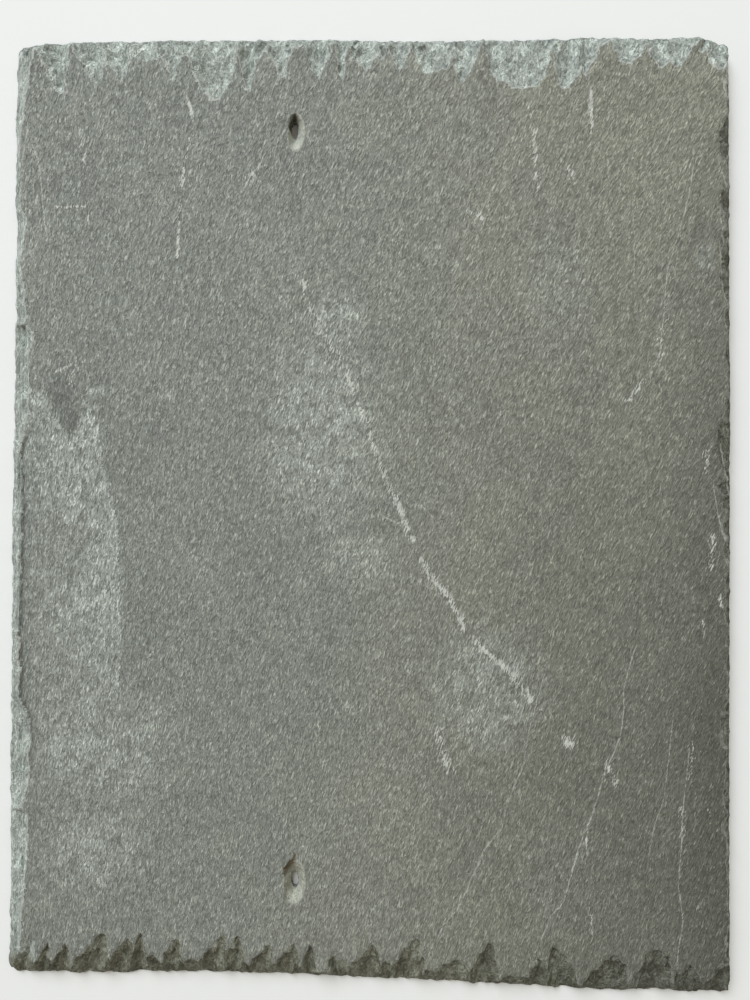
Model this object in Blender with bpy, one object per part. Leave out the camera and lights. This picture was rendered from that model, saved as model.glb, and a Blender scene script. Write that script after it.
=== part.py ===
"""A dressed roofing slate lying face up, with two punched nail holes.

Run with: blender --background --python part.py
Units are metres, +Z is up, and the slate's underside lies on z = 0. X runs across the slate and Y along it.
Lengths in the tables of scars, edges and ledges are in millimetres.
"""

import math

import bpy
import numpy as np

MM = 0.001

# Driving dimensions, in millimetres
LENGTH = 305.0
WIDTH = 228.6
THICKNESS = 6.0  # a typical roofing slate; the plan is the 12 by 9 inch size

# How far each edge bows in from the nominal rectangle: (place along the edge, distance inwards)
LEFT_BOW = [(-140, 0.0), (-122, 0.3), (-59, 0.6), (5, 1.2), (68, 2.0), (132, 2.2), (150, 2.7)]
RIGHT_BOW = [(-146, 0.0), (-122, 0.2), (36, 0.0), (100, 0.2), (143, 0.5)]
TOP_BOW = [(-111, 2.6), (-98, 1.7), (-69, 0.8), (-21, 0.6), (10, 1.2), (58, 0.5), (74, 0.0), (106, 0.0), (113, 0.8)]
BOTTOM_BOW = [(-53, 6.5), (-21, 5.8), (10, 4.3), (42, 2.7), (74, 1.0), (106, 0.3), (114, 0.0)]

# Corner radii, across and along, in millimetres
CORNER_TOP_LEFT = (2.0, 5.0)
CORNER_TOP_RIGHT = (4.8, 4.8)
CORNER_BOTTOM_LEFT = (3.6, 4.2)
CORNER_BOTTOM_RIGHT = (1.6, 1.6)

# Flake scars left by dressing: (tip along the edge, reach into the face, root from, root to, bluntness)
TOP_SCARS = [
    (-96.0, 19.5, -105.0, -93.5, 1.3),
    (-84.5, 16.0, -94.0, -82.0, 1.5),
    (-76.5, 14.5, -87.5, -73.5, 1.4),
    (-69.5, 9.5, -75.5, -65.5, 2.2),
    (-61.0, 15.5, -66.0, -57.0, 1.3),
    (-48.0, 22.0, -57.5, -40.5, 1.8),
    (-37.0, 20.5, -41.0, -33.5, 1.2),
    (-26.5, 14.5, -33.5, -24.0, 1.5),
    (-15.5, 15.5, -20.5, -10.5, 1.4),
    (-8.0, 16.0, -11.0, -5.0, 1.2),
    (-1.0, 12.5, -5.5, 6.0, 1.5),
    (10.0, 11.5, 6.0, 14.5, 1.4),
    (20.5, 13.0, 15.0, 27.0, 2.8),
    (30.0, 16.0, 26.0, 36.5, 1.5),
    (41.5, 16.0, 36.5, 46.0, 2.0),
    (48.0, 18.0, 39.0, 57.5, 3.0),
    (62.0, 18.5, 58.0, 71.5, 1.5),
    (68.0, 14.5, 65.5, 75.0, 1.4),
    (81.5, 11.0, 76.0, 87.5, 2.0),
    (92.0, 12.0, 87.0, 98.5, 1.6),
    (97.0, 12.0, 94.0, 104.0, 1.6),
    (110.0, 12.5, 105.5, 117.5, 1.6),
]
BOTTOM_SCARS = [
    (-105.0, 14.0, -115.0, -106.0, 1.5),
    (-99.5, 13.5, -107.0, -100.5, 1.4),
    (-94.5, 12.0, -101.0, -93.5, 1.6),
    (-82.5, 15.5, -95.5, -83.0, 1.5),
    (-75.0, 13.5, -84.0, -74.5, 1.8),
    (-71.0, 15.0, -76.0, -69.0, 1.5),
    (-59.5, 14.0, -67.5, -57.0, 1.4),
    (-45.0, 14.5, -56.0, -45.0, 1.6),
    (-40.5, 14.5, -46.0, -38.5, 1.8),
    (-31.0, 12.5, -39.0, -30.5, 1.6),
    (-23.0, 13.5, -31.5, -21.5, 1.6),
    (-17.5, 12.5, -22.0, -15.0, 1.4),
    (2.0, 13.5, -6.5, 4.0, 1.5),
    (15.5, 15.5, 3.0, 18.0, 1.4),
    (28.0, 10.0, 18.0, 30.5, 2.0),
    (38.5, 15.5, 29.5, 41.0, 1.5),
    (54.0, 11.5, 49.0, 57.5, 2.0),
    (59.0, 15.5, 56.0, 67.5, 1.6),
    (78.0, 14.0, 65.5, 81.5, 1.6),
    (91.0, 15.5, 80.5, 96.0, 1.8),
    (101.5, 12.0, 96.0, 105.5, 1.6),
    (112.5, 13.0, 105.0, 116.5, 1.6),
]
LEFT_SCARS = [
    (142.5, 7.5, 130.5, 149.5, 1.8),
    (114.0, 4.5, 95.5, 132.0, 3.0),
    (83.0, 5.0, 60.5, 100.0, 3.0),
    (54.0, 7.5, 46.5, 65.0, 1.6),
    (41.5, 6.0, 24.0, 49.0, 2.0),
    (23.5, 5.0, 15.0, 28.5, 1.6),
    (-6.5, 5.0, -14.5, 14.0, 2.5),
    (-19.5, 6.0, -27.0, -13.0, 1.6),
    (-34.0, 5.5, -44.5, -26.0, 2.0),
    (-63.0, 6.5, -70.0, -56.0, 1.8),
    (-72.5, 9.0, -81.0, -66.0, 2.0),
    (-84.0, 7.5, -92.5, -79.5, 2.0),
    (-93.5, 7.0, -106.5, -92.0, 1.6),
    (-111.5, 6.5, -118.0, -105.0, 1.8),
    (-116.5, 6.5, -126.5, -116.0, 1.5),
    (-130.0, 5.0, -140.0, -124.0, 2.5),
]
RIGHT_SCARS = [
    (118.5, 2.5, 104.5, 130.5, 2.0),
    (94.0, 4.0, 83.5, 100.5, 1.6),
    (74.0, 3.5, 65.0, 79.5, 1.6),
    (53.0, 1.5, 39.5, 61.5, 2.0),
    (26.0, 4.5, 16.5, 36.0, 2.0),
    (8.0, 4.0, 4.0, 11.5, 2.5),
    (-14.0, 1.5, -27.0, -1.5, 2.0),
    (-39.0, 1.5, -55.0, -30.0, 2.0),
    (-62.5, 3.0, -71.0, -55.5, 2.0),
    (-83.0, 1.5, -99.0, -72.5, 2.0),
    (-108.0, 1.5, -121.0, -99.0, 2.0),
    (-130.0, 1.5, -140.0, -121.0, 2.0),
]

# Height of the wall left at each edge, and the width of the bevel that runs the whole edge
TOP_FOOT, TOP_BEVEL = 1.5, 5.5
BOTTOM_FOOT, BOTTOM_BEVEL = 1.5, 4.5
LEFT_FOOT, LEFT_BEVEL = 2.0, 4.0
RIGHT_FOOT, RIGHT_BEVEL = 4.6, 0.9
BEVEL_SHARE = 0.25
SCAR_LIP = 0.25
SCAR_SLOPE = 1.15

# Cleavage ledges on the face, as the points each runs through
LONG_LEDGE = [(84, -41), (80, -66), (75, -84), (69, -99), (62, -120), (60, -122), (53, -134)]
SHORT_LEDGE = [(50, -66), (47, -86), (41, -103), (33, -112), (28, -124), (21, -133)]
LEAF_LEDGE = [(-88, 45), (-83, 24), (-80, 6), (-79, -20), (-77, -60)]
LEDGE_DROP = 0.3
LEDGE_RUN_OUT = 14.0
LEDGE_WIDTH = 0.6
FACE_SWELL = 0.2
FACE_SWELL_CELL = 34.0

# Nail holes: neck centre, neck half sizes, crater centre and crater half sizes, all in plan
UPPER_HOLE = {"neck": (-23.0, 122.2), "neck_half": (1.1, 2.8), "crater": (-22.2, 119.9), "crater_half": (2.5, 5.8)}
LOWER_HOLE = {"neck": (-23.1, -116.6), "neck_half": (1.1, 2.9), "crater": (-23.0, -112.8), "crater_half": (3.1, 7.0)}
NECK_HEIGHT = 2.0
CRATER_STEPS = 4
CRATER_CURVE = 1.6
HOLE_SEGMENTS = 18
HOLE_OVERCUT = 1.0
HOLE_RAGGED = 0.1

# How fine the surface is worked out, and how many triangles are kept
CELL = 1.25
KEPT_TRIANGLES = 9000
FLAT_BELOW = 0.02
EDGE_RAGGED = 0.3
EDGE_RAGGED_CELL = 4.0
NOISE_LATTICE = 64
SEED = 41

SLATE_COLOUR = (0.20, 0.21, 0.175, 1.0)
SLATE_ROUGHNESS = 0.75


def clear_scene():
    for old in list(bpy.data.objects):
        bpy.data.objects.remove(old, do_unlink=True)


def smooth_noise(x, y, cell, seed):
    """Smooth noise from -1 to 1, with features about one cell across."""
    lattice = np.random.default_rng(seed).uniform(-1.0, 1.0, (NOISE_LATTICE, NOISE_LATTICE))
    column = np.floor(x / cell).astype(int)
    row = np.floor(y / cell).astype(int)
    across = x / cell - column
    along = y / cell - row
    across = across * across * (3 - 2 * across)
    along = along * along * (3 - 2 * along)
    here, right = column % NOISE_LATTICE, (column + 1) % NOISE_LATTICE
    below, above = row % NOISE_LATTICE, (row + 1) % NOISE_LATTICE
    low = lattice[here, below] * (1 - across) + lattice[right, below] * across
    high = lattice[here, above] * (1 - across) + lattice[right, above] * across
    return low * (1 - along) + high * along


def along_edge(bow, place):
    """How far an edge has bowed inwards at each place along it, with its small raggedness."""
    stations, inwards = zip(*bow)
    ragged = smooth_noise(place, place * 0 + len(bow), EDGE_RAGGED_CELL, SEED)
    return np.interp(place, stations, inwards) + EDGE_RAGGED * (1 + ragged)


def rounded_corner(x, y, side_x, side_y, radii):
    """Draws the nominal rectangle's corner in to a round one; points away from the corner stay put."""
    across = (x * side_x - (WIDTH / 2 - radii[0])) / radii[0]
    along = (y * side_y - (LENGTH / 2 - radii[1])) / radii[1]
    inside = (across > 0) & (along > 0)
    across = np.where(inside, across, 1.0)
    along = np.where(inside, along, 0.0)
    shrink = np.maximum(across, along) / np.hypot(across, along)
    x = np.where(inside, side_x * (WIDTH / 2 - radii[0] + across * shrink * radii[0]), x)
    y = np.where(inside, side_y * (LENGTH / 2 - radii[1] + along * shrink * radii[1]), y)
    return x, y


def plan_of(x, y):
    """Carries points of the nominal rectangle to the slate's real plan."""
    for side_x, side_y, radii in (
        (-1, 1, CORNER_TOP_LEFT),
        (1, 1, CORNER_TOP_RIGHT),
        (-1, -1, CORNER_BOTTOM_LEFT),
        (1, -1, CORNER_BOTTOM_RIGHT),
    ):
        x, y = rounded_corner(x, y, side_x, side_y, radii)
    share_x = x / WIDTH + 0.5
    share_y = y / LENGTH + 0.5
    shift_x = along_edge(LEFT_BOW, y) * (1 - share_x) - along_edge(RIGHT_BOW, y) * share_x
    shift_y = along_edge(BOTTOM_BOW, x) * (1 - share_y) - along_edge(TOP_BOW, x) * share_y
    return x + shift_x, y + shift_y


def scar_height(place, inwards, foot, scar):
    """Height of one flake scar: a scoop that rises from the edge's foot to a thin lip at its outline."""
    tip, reach, root_from, root_to, bluntness = scar
    root = (root_from + root_to) / 2
    half = (root_to - root_from) / 2
    offset = np.abs(place - root - (tip - root) * inwards / reach) / half
    ratio = (offset**bluntness + (inwards / reach) ** bluntness) ** (1 / bluntness)
    rise = (THICKNESS - SCAR_LIP - foot) * np.clip(1 - ratio, 0, 1) ** SCAR_SLOPE
    return np.where(ratio < 1, THICKNESS - SCAR_LIP - rise, THICKNESS)


def edge_height(place, inwards, foot, bevel, scars):
    """Height of one dressed edge: its bevel and all of its flake scars."""
    inwards = np.maximum(inwards, 0.0)
    width = bevel * (1 + BEVEL_SHARE * smooth_noise(place, place * 0, bevel, SEED + 1))
    height = foot + (THICKNESS - foot) * np.minimum(inwards / width, 1.0)
    for scar in scars:
        height = np.minimum(height, scar_height(place, inwards, foot, scar))
    return height


def ledge_drop(x, y, points):
    """How far the face has dropped on the far side of one cleavage ledge, running out away from it."""
    nearest = np.full(x.shape, np.inf)
    drop = np.zeros(x.shape)
    length = sum(math.dist(a, b) for a, b in zip(points, points[1:]))
    run = 0.0
    for start, end in zip(points, points[1:]):
        step = math.dist(start, end)
        along = ((end[0] - start[0]) / step, (end[1] - start[1]) / step)
        offset_x = x - start[0]
        offset_y = y - start[1]
        reach = np.clip(offset_x * along[0] + offset_y * along[1], 0, step)
        distance = np.hypot(offset_x - reach * along[0], offset_y - reach * along[1])
        side = np.sign(offset_x * along[1] - offset_y * along[0])
        share = (run + reach) / length
        fade = np.clip(4 * share * (1 - share), 0, 1) * np.exp(-distance / LEDGE_RUN_OUT)
        edge = np.clip(side * distance / LEDGE_WIDTH + 0.5, 0, 1)
        drop = np.where(distance < nearest, LEDGE_DROP * fade * edge, drop)
        nearest = np.minimum(nearest, distance)
        run += step
    return drop


def top_height(x, y):
    """Height of the upper face over a point of the nominal rectangle."""
    face = THICKNESS - FACE_SWELL * (1 + smooth_noise(x, y, FACE_SWELL_CELL, SEED + 2)) / 2
    for points in (LONG_LEDGE, SHORT_LEDGE, LEAF_LEDGE):
        face = face - ledge_drop(x, y, points)
    top = edge_height(x, LENGTH / 2 - y, TOP_FOOT, TOP_BEVEL, TOP_SCARS)
    bottom = edge_height(x, LENGTH / 2 + y, BOTTOM_FOOT, BOTTOM_BEVEL, BOTTOM_SCARS)
    left = edge_height(y, WIDTH / 2 + x, LEFT_FOOT, LEFT_BEVEL, LEFT_SCARS)
    right = edge_height(y, WIDTH / 2 - x, RIGHT_FOOT, RIGHT_BEVEL, RIGHT_SCARS)
    dressed = np.minimum(np.minimum(top, bottom), np.minimum(left, right))
    return np.minimum(face, dressed)


def grid_faces(columns, rows, first):
    """Quads of a grid of points whose numbers start at first, facing up."""
    number = np.arange(columns * rows).reshape(rows, columns) + first
    corners = (number[:-1, :-1], number[:-1, 1:], number[1:, 1:], number[1:, :-1])
    return np.stack([corner.ravel() for corner in corners], axis=1)


def rim_of(columns, rows):
    """Numbers of a grid's outermost points, in order round it, counter-clockwise from above."""
    number = np.arange(columns * rows).reshape(rows, columns)
    sides = (number[0, :-1], number[:-1, -1], number[-1, :0:-1], number[:0:-1, 0])
    return np.concatenate(sides)


def centred(values, size):
    """Shifts and fits one direction of the plan so that it is centred and measures exactly its size."""
    return (values - (values.min() + values.max()) / 2) * size / np.ptp(values)


def slab_mesh():
    """The whole slab as a closed mesh in millimetres: upper face, flat underside and the wall between."""
    columns = round(WIDTH / CELL) + 1
    rows = round(LENGTH / CELL) + 1
    across, along = np.meshgrid(np.linspace(-0.5, 0.5, columns), np.linspace(-0.5, 0.5, rows))
    nominal_x = across.ravel() * WIDTH
    nominal_y = along.ravel() * LENGTH
    x, y = plan_of(nominal_x, nominal_y)
    x = centred(x, WIDTH)
    y = centred(y, LENGTH)
    upper = np.stack([x, y, top_height(nominal_x, nominal_y)], axis=1)
    lower = np.stack([x, y, np.zeros(x.size)], axis=1)
    upper_faces = grid_faces(columns, rows, 0)
    lower_faces = grid_faces(columns, rows, x.size)[:, ::-1]
    rim = rim_of(columns, rows)
    following = np.roll(rim, -1)
    wall = np.stack([rim + x.size, following + x.size, following, rim], axis=1)
    mesh = bpy.data.meshes.new("slate_slab_fine")
    points = np.concatenate([upper, lower])
    faces = np.concatenate([upper_faces, lower_faces, wall])
    mesh.from_pydata(points.tolist(), [], faces.tolist())
    mesh.update()
    return mesh


def thinned(fine):
    """The same surface with far fewer triangles, most of them along the dressed edges, at real size.

    The thinning is done while the mesh is still in millimetres, where its error measure works well.
    """
    carrier = bpy.data.objects.new("slate_slab_fine", fine)
    bpy.context.scene.collection.objects.link(carrier)
    decimate = carrier.modifiers.new("Fewer triangles", "DECIMATE")
    decimate.ratio = KEPT_TRIANGLES / (2 * len(fine.polygons))
    decimate.use_collapse_triangulate = True
    graph = bpy.context.evaluated_depsgraph_get()
    mesh = bpy.data.meshes.new_from_object(carrier.evaluated_get(graph))
    bpy.data.objects.remove(carrier, do_unlink=True)
    points = np.empty(len(mesh.vertices) * 3)
    mesh.vertices.foreach_get("co", points)
    points = points.reshape(-1, 3)
    points[points[:, 2] < FLAT_BELOW, 2] = 0.0
    mesh.vertices.foreach_set("co", (points * MM).ravel())
    mesh.update()
    return mesh


def hole_cutter(name, hole):
    """A closed cutter for one punched nail hole: a slot through the slate that flares to a spalled crater."""
    heights = [-HOLE_OVERCUT, NECK_HEIGHT]
    shares = [0.0, 0.0]
    for step in range(1, CRATER_STEPS + 1):
        share = step / CRATER_STEPS
        heights.append(NECK_HEIGHT + (THICKNESS - NECK_HEIGHT) * share**CRATER_CURVE)
        shares.append(share)
    heights.append(THICKNESS + HOLE_OVERCUT)
    shares.append(1.0)
    angles = np.linspace(0, 2 * math.pi, HOLE_SEGMENTS, endpoint=False)
    ragged = np.random.default_rng(SEED + len(name)).uniform(-HOLE_RAGGED, HOLE_RAGGED, HOLE_SEGMENTS)
    points = []
    for height, share in zip(heights, shares):
        centre = [a + (b - a) * share for a, b in zip(hole["neck"], hole["crater"])]
        half = [a + (b - a) * share for a, b in zip(hole["neck_half"], hole["crater_half"])]
        reach = 1 + ragged * share
        ring_x = centre[0] + half[0] * np.cos(angles) * reach
        ring_y = centre[1] + half[1] * np.sin(angles) * reach
        points += [(px * MM, py * MM, height * MM) for px, py in zip(ring_x, ring_y)]
    rings = len(heights)
    faces = [tuple(range(HOLE_SEGMENTS))[::-1]]
    faces.append(tuple(range((rings - 1) * HOLE_SEGMENTS, rings * HOLE_SEGMENTS)))
    for ring in range(rings - 1):
        base = ring * HOLE_SEGMENTS
        for segment in range(HOLE_SEGMENTS):
            after = (segment + 1) % HOLE_SEGMENTS
            lower = (base + segment, base + after)
            faces.append((*lower, base + HOLE_SEGMENTS + after, base + HOLE_SEGMENTS + segment))
    mesh = bpy.data.meshes.new(name)
    mesh.from_pydata(points, [], faces)
    cutter = bpy.data.objects.new(name, mesh)
    bpy.context.scene.collection.objects.link(cutter)
    cutter.hide_render = True
    cutter.display_type = "WIRE"
    return cutter


def slate_material():
    material = bpy.data.materials.new("slate")
    material.use_nodes = True
    shader = material.node_tree.nodes["Principled BSDF"]
    shader.inputs["Base Color"].default_value = SLATE_COLOUR
    shader.inputs["Roughness"].default_value = SLATE_ROUGHNESS
    shader.inputs["Metallic"].default_value = 0.0
    return material


def build_slab():
    slab = bpy.data.objects.new("slate_slab", thinned(slab_mesh()))
    bpy.context.scene.collection.objects.link(slab)
    slab.data.materials.append(slate_material())
    for name, hole in (("upper_nail_hole_cutter", UPPER_HOLE), ("lower_nail_hole_cutter", LOWER_HOLE)):
        cut = slab.modifiers.new(name, "BOOLEAN")
        cut.operation = "DIFFERENCE"
        cut.object = hole_cutter(name, hole)
    return slab


clear_scene()
build_slab()
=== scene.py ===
"""The looks of a dressed roofing slate lying face up on a pale floor.

Lengths in the tables of scars, edges, ledges and marks are in millimetres, in plan, with the slate's
centre at 0, 0. What is in metres says so, or is a setting with a unit of length.
"""

import math
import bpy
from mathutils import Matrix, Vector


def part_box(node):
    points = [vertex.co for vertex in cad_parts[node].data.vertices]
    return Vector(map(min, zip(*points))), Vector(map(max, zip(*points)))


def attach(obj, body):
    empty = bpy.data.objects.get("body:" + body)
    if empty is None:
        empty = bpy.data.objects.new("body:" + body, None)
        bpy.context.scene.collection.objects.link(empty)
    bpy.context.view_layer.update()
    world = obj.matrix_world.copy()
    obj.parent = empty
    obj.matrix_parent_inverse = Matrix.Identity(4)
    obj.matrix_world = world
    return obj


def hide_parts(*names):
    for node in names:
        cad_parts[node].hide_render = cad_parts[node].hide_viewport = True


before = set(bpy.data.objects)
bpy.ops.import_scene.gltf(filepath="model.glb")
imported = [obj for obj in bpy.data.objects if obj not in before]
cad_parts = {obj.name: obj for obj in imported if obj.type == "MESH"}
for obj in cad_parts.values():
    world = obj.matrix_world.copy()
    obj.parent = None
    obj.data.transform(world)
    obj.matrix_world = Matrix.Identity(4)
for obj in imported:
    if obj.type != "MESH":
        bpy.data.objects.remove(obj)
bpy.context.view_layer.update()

from types import SimpleNamespace

import bmesh
import bpy
import numpy as np
from bpy.props import FloatProperty, FloatVectorProperty, IntProperty, PointerProperty
from mathutils import Vector

bl_info = {
    "name": "Dressed slate",
    "version": (1, 0, 0),
    "blender": (4, 5, 0),
    "location": "View3D > Sidebar > Slate",
    "description": "Builds a riven, edge-dressed roofing slate and the stage it is seen on",
    "category": "Object",
}

CAD_LOW, CAD_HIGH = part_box("slate_slab")
MM = 0.001
SEED = 41

# The slate's size, in millimetres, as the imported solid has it
WIDTH = (CAD_HIGH.x - CAD_LOW.x) / MM
LENGTH = (CAD_HIGH.y - CAD_LOW.y) / MM
THICKNESS = (CAD_HIGH.z - CAD_LOW.z) / MM

# How far each edge bows in from the nominal rectangle: (place along the edge, distance inwards)
LEFT_BOW = [(-140, 0.0), (-122, 0.3), (-59, 0.6), (5, 1.2), (68, 2.0), (132, 2.2), (150, 2.7)]
RIGHT_BOW = [(-146, 0.0), (-122, 0.2), (36, 0.0), (100, 0.2), (143, 0.5)]
TOP_BOW = [
    (-111, 2.6), (-98, 1.7), (-69, 0.8), (-21, 0.6), (10, 1.2), (58, 0.5), (74, 0.0), (106, 0.0), (113, 0.8),
]
BOTTOM_BOW = [(-53, 6.5), (-21, 5.8), (10, 4.3), (42, 2.7), (74, 1.0), (106, 0.3), (114, 0.0)]

# Corner radii, across and along
CORNERS = (
    (-1, 1, (2.0, 5.0)),
    (1, 1, (4.8, 4.8)),
    (-1, -1, (3.6, 4.2)),
    (1, -1, (1.6, 1.6)),
)

# Flake scars left by dressing: (tip along the edge, reach into the face, root from, root to, bluntness)
TOP_SCARS = [
    (-96.0, 19.5, -105.0, -93.5, 1.3),
    (-84.5, 16.0, -94.0, -82.0, 1.5),
    (-76.5, 14.5, -87.5, -73.5, 1.4),
    (-69.5, 9.5, -75.5, -65.5, 2.2),
    (-61.0, 15.5, -66.0, -57.0, 1.3),
    (-48.0, 22.0, -57.5, -40.5, 1.8),
    (-37.0, 20.5, -41.0, -33.5, 1.2),
    (-26.5, 14.5, -33.5, -24.0, 1.5),
    (-15.5, 15.5, -20.5, -10.5, 1.4),
    (-8.0, 16.0, -11.0, -5.0, 1.2),
    (-1.0, 12.5, -5.5, 6.0, 1.5),
    (10.0, 11.5, 6.0, 14.5, 1.4),
    (20.5, 13.0, 15.0, 27.0, 2.8),
    (30.0, 16.0, 26.0, 36.5, 1.5),
    (41.5, 16.0, 36.5, 46.0, 2.0),
    (48.0, 18.0, 39.0, 57.5, 3.0),
    (62.0, 18.5, 58.0, 71.5, 1.5),
    (68.0, 14.5, 65.5, 75.0, 1.4),
    (81.5, 11.0, 76.0, 87.5, 2.0),
    (92.0, 12.0, 87.0, 98.5, 1.6),
    (97.0, 12.0, 94.0, 104.0, 1.6),
    (110.0, 12.5, 105.5, 117.5, 1.6),
]
BOTTOM_SCARS = [
    (-105.0, 14.0, -115.0, -106.0, 1.5),
    (-99.5, 13.5, -107.0, -100.5, 1.4),
    (-94.5, 12.0, -101.0, -93.5, 1.6),
    (-82.5, 15.5, -95.5, -83.0, 1.5),
    (-75.0, 13.5, -84.0, -74.5, 1.8),
    (-71.0, 15.0, -76.0, -69.0, 1.5),
    (-59.5, 14.0, -67.5, -57.0, 1.4),
    (-45.0, 14.5, -56.0, -45.0, 1.6),
    (-40.5, 14.5, -46.0, -38.5, 1.8),
    (-31.0, 12.5, -39.0, -30.5, 1.6),
    (-23.0, 13.5, -31.5, -21.5, 1.6),
    (-17.5, 12.5, -22.0, -15.0, 1.4),
    (2.0, 13.5, -6.5, 4.0, 1.5),
    (15.5, 15.5, 3.0, 18.0, 1.4),
    (28.0, 10.0, 18.0, 30.5, 2.0),
    (38.5, 15.5, 29.5, 41.0, 1.5),
    (54.0, 11.5, 49.0, 57.5, 2.0),
    (59.0, 15.5, 56.0, 67.5, 1.6),
    (78.0, 14.0, 65.5, 81.5, 1.6),
    (91.0, 15.5, 80.5, 96.0, 1.8),
    (101.5, 12.0, 96.0, 105.5, 1.6),
    (112.5, 13.0, 105.0, 116.5, 1.6),
]
# The left edge's thin strip: (place along the edge, how far the strip reaches in from the nominal edge)
STRIP = [
    (-139.2, 4.6), (-129.8, 4.9), (-117.3, 6.1), (-104.8, 7.1), (-93.5, 7.1), (-92.6, 3.3), (-91.0, 5.5),
    (-86.7, 6.8), (-81.7, 8.0), (-76.7, 7.7), (-69.8, 8.3), (-66.0, 7.4), (-61.6, 6.4), (-56.6, 4.2),
    (-51.6, 4.9), (-39.1, 4.2), (-7.8, 5.2), (10.9, 5.2), (17.2, 4.6), (23.4, 5.8), (34.7, 7.7),
    (48.5, 7.1), (54.1, 8.9), (57.2, 8.9), (59.1, 7.7), (59.7, 4.6), (60.3, 6.4), (70.4, 6.4),
    (79.1, 4.6), (86.6, 6.1), (92.2, 6.4), (98.5, 4.6), (114.1, 4.4), (119.8, 4.9), (124.5, 6.3),
    (129.8, 6.4), (137.6, 7.7), (145.4, 8.9),
]

# Height of the wall under the strip, the strip's drop below the face, and what is added to its reach
STRIP_FOOT = 1.4
STRIP_LIP = 0.2
STRIP_LEAN = 0.9

# The hollow worn beside the strip, and the places along the edge between which it starts and ends
HOLLOW_DEPTH = 1.4
HOLLOW_WIDTH = 2.2
HOLLOW_WALL = 0.7
HOLLOW_FROM = (32.0, 20.0)
HOLLOW_TO = (-92.0, -60.0)

# The low scars of the right edge, laid out as those of the top and bottom
RIGHT_SCARS = [
    (134.0, 1.8, 127.0, 142.0, 2.0),
    (116.5, 3.4, 110.0, 127.0, 2.0),
    (98.0, 3.4, 91.0, 102.5, 2.2),
    (80.0, 3.3, 66.0, 90.0, 3.0),
    (61.0, 2.2, 56.0, 66.0, 2.0),
    (51.0, 2.4, 46.0, 57.0, 2.0),
    (42.0, 1.5, 39.0, 45.0, 2.0),
    (31.0, 2.8, 26.5, 39.5, 2.0),
    (24.0, 4.4, 10.0, 28.5, 2.2),
    (8.5, 4.6, 6.0, 10.5, 2.0),
    (4.0, 3.3, 1.0, 6.0, 2.0),
    (-4.0, 3.4, -9.5, -0.5, 2.0),
    (-12.0, 2.8, -16.5, -9.0, 2.0),
    (-22.0, 2.2, -27.0, -16.5, 2.0),
    (-31.0, 2.2, -36.0, -27.0, 2.0),
    (-48.0, 2.0, -50.5, -45.5, 2.0),
    (-54.0, 1.4, -58.0, -51.0, 2.0),
    (-67.0, 3.7, -73.5, -57.5, 2.2),
    (-82.0, 2.2, -90.0, -73.0, 2.0),
    (-88.0, 2.8, -94.0, -84.0, 2.0),
    (-98.0, 2.8, -103.0, -94.5, 2.0),
    (-110.0, 1.7, -116.0, -103.5, 2.0),
    (-122.0, 1.2, -127.0, -117.0, 2.0),
    (-132.0, 1.6, -136.0, -128.0, 2.0),
]

# For each edge: height of the wall left at its foot, and width of the bevel that runs the whole edge
TOP_EDGE = (1.0, 4.6, TOP_SCARS)
BOTTOM_EDGE = (0.6, 5.0, BOTTOM_SCARS)
RIGHT_EDGE = (4.7, 0.8, RIGHT_SCARS)

# Small flakes between the large scars: (distance from one to the next, shortest and longest reach, seed)
TOP_SMALL = (3.2, (3.5, 10.0), SEED + 20)
BOTTOM_SMALL = (4.0, (3.5, 10.0), SEED + 21)
RIGHT_SMALL = (5.0, (0.6, 2.2), SEED + 23)

# Their half width as a share of that distance, their lean as a share of their reach, and their bluntness
SMALL_HALF = (0.35, 0.8)
SMALL_LEAN = (-0.5, 0.1)
SMALL_BLUNTNESS = (1.4, 2.4)

# How a dressed edge breaks: its foot and bevel, then each scar's cliff, split layers and hackles
FOOT_RAGGED = 0.35
BEVEL_SHARE = 0.35
BEVEL_CURVE = 0.85
SCAR_SLOPE = 1.1
CLIFF_HEIGHT = 0.5
CLIFF_WIDTH = 0.3
CLIFF_REACH = 5.0
CLIFF_TURN = 12.9
LAYER = 0.5
LAYER_SHARE = 0.6
LAYER_TORN = 0.35
HACKLE_HEIGHT = 0.36
HACKLE_SIZE = (1.0, 5.0)
HACKLE_REACH = 12.0

# How far the outlines of the scars are torn, as noises of (height, size): along the edge and in from it
TORN_ALONG = ((0.55, 2.3), (0.3, 1.1))
TORN_INWARDS = ((0.7, 2.1), (0.35, 1.0))

# Cleavage ledges on the face, as the points each runs through
LEDGES = (
    [(84, -41), (80, -66), (75, -84), (69, -99), (62, -120), (60, -122), (53, -134)],
    [(50, -66), (47, -86), (41, -103), (33, -112), (28, -124), (21, -133)],
    [
        (-106, 123), (-105, 116.6), (-102.9, 115), (-102, 103), (-100.7, 91.5), (-102.2, 87.5),
        (-105, 80.5), (-103.5, 67), (-100, 56), (-101.3, 46.5), (-100, 43), (-101.3, 38.5), (-99, 35.5),
        (-96.6, 29.7), (-92.8, 23.4), (-91, 26.6), (-89.7, 31.3), (-88.5, 36.6), (-84.1, 28.1),
        (-83.5, 16.6), (-81.6, 14.1), (-80, 6.2), (-78.1, -3.1), (-76.9, -39.1), (-78, -62),
    ],
)
LEDGE_DROP = 0.3
LEDGE_RUN_OUT = 14.0
LEDGE_WIDTH = 0.6
FACE_SWELL = 0.2
FACE_SWELL_CELL = 34.0

# The pale leaf of stone left of the long ledge: where it starts and ends, and how fast it fades from it
LEAF_TOP = (41.0, 38.0)
LEAF_END = (-75.0, -43.0)
LEAF_FADE = 18.0

# Where the long ledge cuts other blooms off as well, across and along
LEAF_CUT_ACROSS = (-55.0, -65.0)
LEAF_CUT_ALONG = (-70.0, -45.0)

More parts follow.
